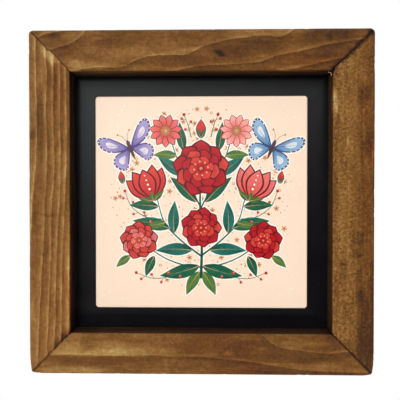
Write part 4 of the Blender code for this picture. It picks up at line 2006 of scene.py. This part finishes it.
    def tulip(self, foot: Point, angle: float, size: float, tones: Tones) -> None:
        """Paints a cup of five petals that opens along the angle, with dots up its middle and three sepals.

        Args:
            foot: Where it begins.
            angle: The way that it points.
            size: The length of its longest petals.
            tones: Its edge, its deep and its pale colour.
        """
        tone = self.palette
        cup = ((-34, 0.95, 0.42), (34, 0.95, 0.42), (-17, 1.0, 0.46), (17, 1.0, 0.46), (0, 0.92, 0.5))
        for turn, length, width in cup:
            self.petal(foot, angle + turn, size * length, size * width, tones, 1.15)
        for number in range(4):
            spot = spoke(foot, size * (0.34 + 0.13 * number), angle)
            self.disc(spot, size * (0.032 - 0.004 * number), tone.cream, None, 8)
        for turn, length in ((-62, 0.42), (62, 0.42), (0, 0.26)):
            self.leaf(foot, angle + turn, size * length, size * 0.15, 0.0, tone.pine_green, tone.moss)

    def bud(self, foot: Point, angle: float, size: float) -> None:
        """Paints a closed bud on its sepals.

        Args:
            foot: Where it begins.
            angle: The way that it points.
            size: Its length.
        """
        tone = self.palette
        self.petal(foot, angle, size, size * 0.52, (tone.wine, tone.red, tone.coral), 0.9)
        for turn in (-24, 24):
            self.leaf(foot, angle + turn, size * 0.62, size * 0.2, 0.0, tone.pine_green, tone.leaf)

    def butterfly(self, centre: Point, angle: float, size: float, tones: Tones) -> None:
        """Paints a butterfly: on each side a lower and an upper wing, each with a wash, veins and dots.

        Args:
            centre: The middle of its body.
            angle: The turn of its body from upright.
            size: The length of an upper wing.
            tones: Its edge, its deep and its pale colour.
        """
        edge, deep, pale = tones
        tone = self.palette

        def place(points: Array, way: float = 1.0) -> Array:
            """Points of its right or its left side, put where it flies."""
            return turned(points * (way * size, size), angle, centre)

        for way in (-1.0, 1.0):
            for wing, heart in ((LOWER_WING, np.array([0.44, -0.28])), (UPPER_WING, np.array([0.62, 0.40]))):
                outline = closed_curve(wing, 6)
                tip = place((heart * 1.7)[None], way)[0]
                self.paint(place(outline, way), edge, margin=True)
                self.paint(place(heart + (outline - heart) * 0.84, way), deep, pale, centre, tip)
                self.paint(place(heart + (outline - heart) * 0.40, way), pale, tone.cream, centre, tip)
                for knot in wing[[2, 4, 6]]:
                    ends = np.stack([wing[0] * 1.5, heart + (knot - heart) * 0.8])
                    self.stroke(place(ends, way), (0.32, 0.14), edge, deep, 4)
                rim = heart + (closed_curve(wing, 2) - heart) * 0.92
                for spot in place(rim[4:12], way):
                    self.disc(spot, size * 0.026, tone.cream, None, 7)
            feeler = place(FEELER, way)
            self.stroke(feeler, (0.3, 0.22), tone.bark, None, 8)
            self.disc(feeler[-1], size * 0.035, tone.copper, None, 8)
        self.paint(place(closed_curve(BODY, 3)), tone.bark, edge, centre, place(BODY[:1])[0])

    def sprig(self, knots: Array, berry: Colour, count: int = 5) -> None:
        """Paints a thin stem with a berry at its tip, and others on stalks to the left and right by turns.

        Args:
            knots: The points that the stem passes through.
            berry: The berries' colour.
            count: How many stalks there are.
        """
        tone = self.palette
        self.stroke(knots, (0.7, 0.35), tone.teal, tone.leaf)
        line = path_points(knots, count + 2)
        run = np.gradient(line, axis=0)
        for number in range(1, count + 1):
            way = 1.0 if number % 2 else -1.0
            side = np.array([-run[number, 1], run[number, 0]]) * way + run[number] * 0.8
            spot = line[number] + side / np.hypot(*side) * 3.4
            self.stroke([line[number], spot], (0.35, 0.25), tone.teal, None, 3)
            self.disc(spot, 1.05, tone.wine, berry, 12)
            self.disc(spot + (-0.3, 0.32), 0.26, tone.cream, None, 6)
        self.disc(line[-1], 1.15, tone.wine, berry, 12)

    def scatter(self, seed: int = 4) -> None:
        """Paints small dots, rings and tiny blossoms round the bouquet, kept apart from each other.

        Places are tried at random in a square, and one stays if it is far enough from those before it. Near
        the square's rim only pale dots are painted.

        Args:
            seed: Picks the places.
        """
        tone = self.palette
        choice = np.random.default_rng(seed)
        kept: list[Array] = []
        for _ in range(self.tries):
            spot = choice.uniform(-70.0, 70.0, 2)
            if any(np.hypot(*(spot - other)) < self.apart for other in kept):
                continue
            kept.append(spot)
            away = np.hypot(*(spot - (0.0, 4.0))) / 70.0
            kind, size = choice.uniform(), choice.uniform(0.25, 0.55)
            if away > 0.92:
                if kind < 0.35:
                    self.disc(spot, size * 1.6, tone.cream, tone.haze, 12)
            elif kind < 0.16:
                self.blossom(spot, 1.5 + size, kind * 900.0)
            elif kind < 0.24:
                self.disc(spot, 1.0, tone.copper, None, 12)
                self.disc(spot, 0.6, tone.ground, None, 10)
            elif kind < 0.38:
                self.disc(spot, size * 1.6, tone.cream, tone.haze, 12)
            else:
                self.disc(spot, size, tone.copper if kind < 0.75 else tone.sand, None, 9)

    def blossom(self, centre: Point, radius: float, turn: float) -> None:
        """Paints a tiny copper blossom of five petals.

        Args:
            centre: Its middle.
            radius: Its radius.
            turn: Its turn, in degrees.
        """
        petal = closed_curve([(0.1, 0.0), (0.55, 0.3), (1.0, 0.18), (1.0, -0.18), (0.55, -0.3)], 3) * radius
        rim = (centre[0] + radius, centre[1])
        for number in range(5):
            outline = turned(petal, turn + 72.0 * number, centre)
            self.paint(outline, self.palette.copper, self.palette.sand, centre, rim, True)
        self.disc(centre, radius * 0.22, self.palette.bark, None, 8)

    def half(self) -> None:
        """Paints what both sides share: stems, leaves and sprigs."""
        tone = self.palette
        teal = (tone.pine_green, tone.teal)
        greens = {"green": (tone.pine_green, tone.leaf), "olive": (tone.leaf, tone.moss), "teal": teal}
        self.stroke([(0, -38), (-13, -28), (-26, -14), (-31, 2)], (1.3, 0.7), *teal, 18)
        self.stroke([(0, -46), (-14, -44), (-30, -37), (-42, -27)], (1.1, 0.7), *teal, 18)
        self.stroke([(0, -4), (-9, 14), (-18, 34), (-23, 50)], (1.0, 0.7), *teal, 18)
        for foot, angle, length, width, bend, green in LEAVES:
            self.leaf(foot, angle, length, width, bend, *greens[green])
        self.sprig([(-27, -12), (-40, -10), (-50, -2), (-54, 8)], tone.coral)
        self.sprig([(-8, -46), (-20, -52), (-34, -54), (-46, -50)], tone.coral)
        self.sprig([(-7, 46), (-9, 54), (-12, 62)], tone.red, 3)

    def draw(self) -> list[Shape]:
        """Paints the whole picture.

        Returns:
            Its shapes, the lowest first.
        """
        tone = self.palette
        reds = (tone.wine, tone.red, tone.coral)
        pinks = (tone.red, tone.rose, tone.blush)
        corals = (tone.wine, tone.coral, tone.rose)
        self.scatter()
        scattered = len(self.shapes)
        self.stroke([(0, -54), (0.6, -30), (-0.6, -4), (0, 28)], (2.0, 1.1), tone.pine_green, tone.leaf, 18)
        for self.flip in (False, True):
            self.half()
        for self.flip, tulip, daisy, rosette in ((False, reds, corals, corals), (True, corals, pinks, reds)):
            self.tulip((-33.5, 1.0), 110.0, 26.0, tulip)
            self.daisy((-25.0, 50.5), 12.0, daisy, 8.0)
            self.rosette((-44.0, -27.0), 14.0, rosette, 12.0)
            self.bud((-55.5, 13.0), 100.0, 9.5)
        self.flip = False
        self.bud((0.0, 45.0), 90.0, 14.0)
        self.rosette((0.0, 24.0), 20.5, reds, 10.0)
        self.rosette((0.0, -18.0), 15.0, reds, 0.0)
        self.butterfly((-50.0, 38.0), 24.0, 19.0, (tone.plum, tone.violet, tone.lilac))
        self.butterfly((50.0, 38.0), -24.0, 19.0, (tone.night, tone.blue, tone.sky))
        return self.shapes[:scattered] + self.margins + self.shapes[scattered:]


@dataclass
class PictureTile(Plate):
    """The ceramic tile, with its picture laid into the mesh of its face.

    Attributes:
        edge_round: The rounding of its face's rim.
        corner_radius: The rounding of its corners.
        back_bevel: The bevel of its back's rim.
        glaze_end: How far in front of the back the glaze begins to thin out, and where it is whole.
        finish: The glaze.
    """

    edge_round: float = 0.0010
    corner_radius: float = 0.0022
    back_bevel: float = 0.0004
    glaze_end: Point = (0.0012, 0.0016)
    finish: PictureGlaze = field(default_factory=PictureGlaze)

    def divide_face(self, rim: Array, shapes: list[Shape]) -> tuple[Array, Array, Array, Array]:
        """Divides the tile's flat face into triangles that follow every painted outline.

        The outlines go into one constrained Delaunay triangulation, which says for each triangle which
        outlines hold it. The last painted of those gives its colour.

        Args:
            rim: The face's outline, in metres from the tile's middle.
            shapes: The picture.

        Returns:
            The points, the triangles, for each triangle the number of its shape (0 is the ground), and for
            each rim point the number of its point.
        """
        outlines = [rim] + [shape.outline * MM for shape in shapes]
        starts = np.cumsum([0] + [len(outline) for outline in outlines])
        points = np.concatenate(outlines)
        loops = [list(range(start, end)) for start, end in zip(starts[:-1], starts[1:])]
        corners = [Vector(point) for point in (points / MM).tolist()]
        made = delaunay_2d_cdt(corners, [], loops, 1, 1e-5, True)
        flat = np.array([tuple(point) for point in made[0]]) * MM
        triangles = np.array(made[2])
        spans = flat[triangles]
        area = np.cross(spans[:, 1] - spans[:, 0], spans[:, 2] - spans[:, 0])
        triangles = np.where(area[:, None] < 0, triangles[:, ::-1], triangles)
        owner = np.array([max(held, default=0) for held in made[5]])
        where = np.full(len(points), -1)
        for number, sources in enumerate(made[3]):
            where[list(sources)] = number
        return flat, triangles, owner, where[: len(rim)]

    def add_colours(self, piece: Object, places: Array, owner: Array, shapes: list[Shape]) -> None:
        """Stores the picture's colours at each corner of each face. Where nothing is painted, alpha is 0.

        Args:
            piece: The tile.
            places: The corners of the face's triangles, in metres from the tile's middle.
            owner: For each triangle the number of its shape, from 1, or 0.
            shapes: The picture.
        """
        ground = np.array([*linear(Palette().ground)[:3], 0.0])
        colours = np.tile(ground, (len(piece.data.loops), 1))
        painted = colours[: 3 * len(owner)].reshape(-1, 3, 4)
        order = np.argsort(owner, kind="stable")
        bounds = np.searchsorted(owner[order], np.arange(1, len(shapes) + 2))
        for shape, start, end in zip(shapes, bounds[:-1], bounds[1:]):
            chosen = order[start:end]
            painted[chosen] = shape.colours(places[chosen].reshape(-1, 2) / MM).reshape(-1, 3, 4)
        layer = piece.data.color_attributes.new("picture", "FLOAT_COLOR", "CORNER")
        layer.data.foreach_set("color", colours.astype(np.float32).ravel())

    def add_map(self, piece: Object, flat_faces: int, size: int) -> None:
        """Gives the tile a map in which its painted face takes nearly all the room.

        The face is laid out as it is. The rings of the rim go side by side in a strip below it, and the back
        goes small beside the strip.

        Args:
            piece: The tile.
            flat_faces: How many faces the painted face has. They come first.
            size: How many points a ring has.
        """
        mesh = piece.data
        layer = mesh.uv_layers.new(name="OFBake")
        corner = np.empty(len(mesh.loops), np.int32)
        mesh.loops.foreach_get("vertex_index", corner)
        place = np.empty(len(mesh.vertices) * 3, np.float32)
        mesh.vertices.foreach_get("co", place)
        place = place.reshape(-1, 3)[corner]
        across = (place[:, 0] - self.centre[0]) / self.side + 0.5
        up = (place[:, 2] - self.centre[1]) / self.side + 0.5
        chart = np.stack([0.005 + 0.91 * across, 0.085 + 0.91 * up], 1)
        first = 3 * flat_faces
        ring, step = np.divmod(np.arange(len(mesh.polygons) - flat_faces - 1), size)
        quads = 4 * len(ring)
        run = (step[:, None] + (0, 0, 1, 1)) / size
        rise = (ring[:, None] + (0, 1, 1, 0)) / (ring.max() + 1)
        chart[first : first + quads] = np.stack([0.005 + 0.91 * run, 0.005 + 0.07 * rise], -1).reshape(-1, 2)
        back = slice(first + quads, len(corner))
        chart[back] = np.stack([0.925 + 0.07 * across[back], 0.01 + 0.07 * up[back]], 1)
        layer.data.foreach_set("uv", chart.astype(np.float32).ravel())

    def build(self, mottle: NodeTree) -> None:
        """Makes the tile and hands it over.

        The face is the divided flat part. From its rim the rings go over a quarter circle, down the side,
        and in a little at the back, where one flat face closes the shell.

        Args:
            mottle: The shared node group.
        """
        shapes = FolkPicture().draw()
        over = self.quarter(6) + (0.0, self.front)
        down = np.linspace(over[-1], (0.0, self.back - self.back_bevel), 6)[1:]
        rings = self.rings(np.concatenate([over, down, [[self.back_bevel, self.back]]]), 6, 60)
        count, size = rings.shape[:2]
        rim = rings[0][:, [0, 2]] - (0.0, self.centre[1])
        flat, triangles, owner, rim_numbers = self.divide_face(rim, shapes)
        face_points = np.stack([flat[:, 0], np.full(len(flat), self.front), flat[:, 1] + self.centre[1]], 1)
        points = np.concatenate([face_points, rings[1:].reshape(-1, 3)])
        below = len(flat) + np.arange((count - 1) * size).reshape(-1, size)
        number = np.concatenate([rim_numbers[None], below])
        faces = triangles.tolist() + ring_quads(number).tolist() + [number[-1][::-1].tolist()]
        piece = new_piece("picture_tile", points, faces, self.finish.material(mottle))
        if len(piece.data.polygons) != len(faces):
            raise ValueError("the tile's mesh lost a face")
        self.add_colours(piece, flat[triangles], owner, shapes)
        run_off = lattice_noise(points[:, [0, 2]] / 0.006, 8) * 0.0006
        low, high = self.glaze_end
        add_values(piece, "glazed", smooth_step(self.back - low, self.back - high, points[:, 1] + run_off))
        smooth = np.zeros(len(faces), bool)
        smooth[len(triangles) : -1] = True
        piece.data.polygons.foreach_set("use_smooth", smooth)
        self.add_map(piece, len(triangles), size)
        hand_over(piece, "ceramic_tile")
        log.info("picture: %d shapes, %d triangles", len(shapes), len(triangles))


# The studio


@dataclass
class Studio:
    """The camera, the light and the pale floor.

    Attributes:
        target: The middle of the frame's front.
        distance: From the camera to the front.
        offset: The camera's place to the right and above the middle.
        yaw: The camera's turn to the left, in degrees.
        pitch: The camera's turn down, in degrees.
        focal_share: Its focal length, as a share of the image's width.
        ambient: The strength of the light from the room, at its darkest and at its brightest.
        bright_way: The way to the brightest part of the room.
        bright_span: Where the room's light begins to rise and where it stops, as shares of that way.
        floor_drop: How far the floor lies under the plaque.
        floor_reach: Half of the floor's side.
        floor_colour: The floor's colour.
    """

    target: Vector
    distance: float = 0.400
    offset: Point = (0.0098, 0.0079)
    yaw: float = -1.46
    pitch: float = -0.87
    focal_share: float = 582.5 / 400.0
    ambient: Point = (0.02, 1.10)
    bright_way: Point3 = (-0.55, 0.0, 0.83)
    bright_span: Point = (-0.20, 0.44)
    floor_drop: float = 0.75
    floor_reach: float = 1.4
    floor_colour: Colour = (236, 234, 230)

    def add_camera(self) -> None:
        """Sets the camera up from the directions that it looks in, to its right and up."""
        yaw, pitch = math.radians(self.yaw), math.radians(self.pitch)
        right = Vector((math.cos(yaw), -math.sin(yaw), 0.0))
        ahead = Vector((math.sin(yaw) * math.cos(pitch), math.cos(yaw) * math.cos(pitch), math.sin(pitch)))
        turn = Matrix((right, right.cross(ahead), -ahead)).transposed().to_4x4()
        data = bpy.data.cameras.new("studio_camera")
        data.sensor_width = 36.0
        data.lens = data.sensor_width * self.focal_share
        data.clip_start = 0.01
        data.clip_end = 20.0
        camera = bpy.data.objects.new("studio_camera", data)
        bpy.context.scene.collection.objects.link(camera)
        place = self.target + Vector((self.offset[0], -self.distance, self.offset[1]))
        camera.matrix_world = Matrix.Translation(place) @ turn
        bpy.context.scene.camera = camera

    def add_light(self, name: str, offset: Point3, size: float, power: float, colour: Colour) -> None:
        """Adds a square soft light that faces the plaque. It leaves no image of itself in what is glossy.

        Args:
            name: Its name.
            offset: Its place from the middle of the front.
            size: Its side.
            power: Its power in watts.
            colour: Its colour.
        """
        data = bpy.data.lights.new(name, "AREA")
        data.shape = "SQUARE"
        data.size = size
        data.energy = power
        data.color = linear(colour)[:3]
        light = bpy.data.objects.new(name, data)
        light.location = self.target + Vector(offset)
        light.visible_glossy = False
        light.rotation_euler = Vector(offset).to_track_quat("Z", "Y").to_euler()
        bpy.context.scene.collection.objects.link(light)

    def add_world(self) -> None:
        """Pure white where the camera sees it, and as light a soft room that is brightest at the upper left.

        The light rises smoothly with the part of each direction that lies along the bright way.
        """
        world = bpy.data.worlds.new("white_room")
        world.use_nodes = True
        nodes = Nodes(world.node_tree)
        along = nodes.along(nodes.add("TexCoord").outputs["Generated"], self.bright_way)
        glow = nodes.ranged(along, *self.bright_span, self.ambient)
        seen = nodes.add("LightPath").outputs["Is Camera Ray"]
        strength = nodes.add("Mix", {0: seen, 2: glow, 3: 1.0}, data_type="FLOAT").outputs[0]
        nodes.feed(world.node_tree.nodes["Background"], {"Color": (1.0, 1.0, 1.0, 1.0), "Strength": strength})
        bpy.context.scene.world = world

    def add_floor(self) -> None:
        """A pale floor, far enough below to stay out of the picture."""
        corners = np.array([(-1.0, -1.0), (1.0, -1.0), (1.0, 1.0), (-1.0, 1.0)]) * self.floor_reach
        points = np.insert(corners, 2, self.target.z - self.floor_drop, axis=1)
        looks = {"Base Color": linear(self.floor_colour), "Roughness": 0.9}
        material = MaterialNodes("pale_floor").close(looks)
        new_piece("studio_floor", points, [[0, 1, 2, 3]], material, closed=False)

    def build(self) -> None:
        """Sets up the whole studio."""
        bpy.context.scene.view_settings.view_transform = "Standard"
        self.add_world()
        self.add_floor()
        self.add_light("key_softbox", (-0.20, -1.50, 0.22), 0.26, 10.1, (255, 252, 248))
        self.add_camera()


def main() -> None:
    """Builds the plaque's visual model and its studio."""
    mottle = mottle_group()
    rails = MitredFrame.from_solids()
    rails.build()
    rails.glue_bead().build()
    BackingBoard.from_solid("backing_board").build(mottle, rails.opening_side)
    PictureTile.from_solid("ceramic_tile").build(mottle)
    Studio(Vector((rails.centre[0], -rails.rail_depth, rails.centre[1]))).build()
    bpy.context.view_layer.update()


if __name__ == "__main__":
    main()
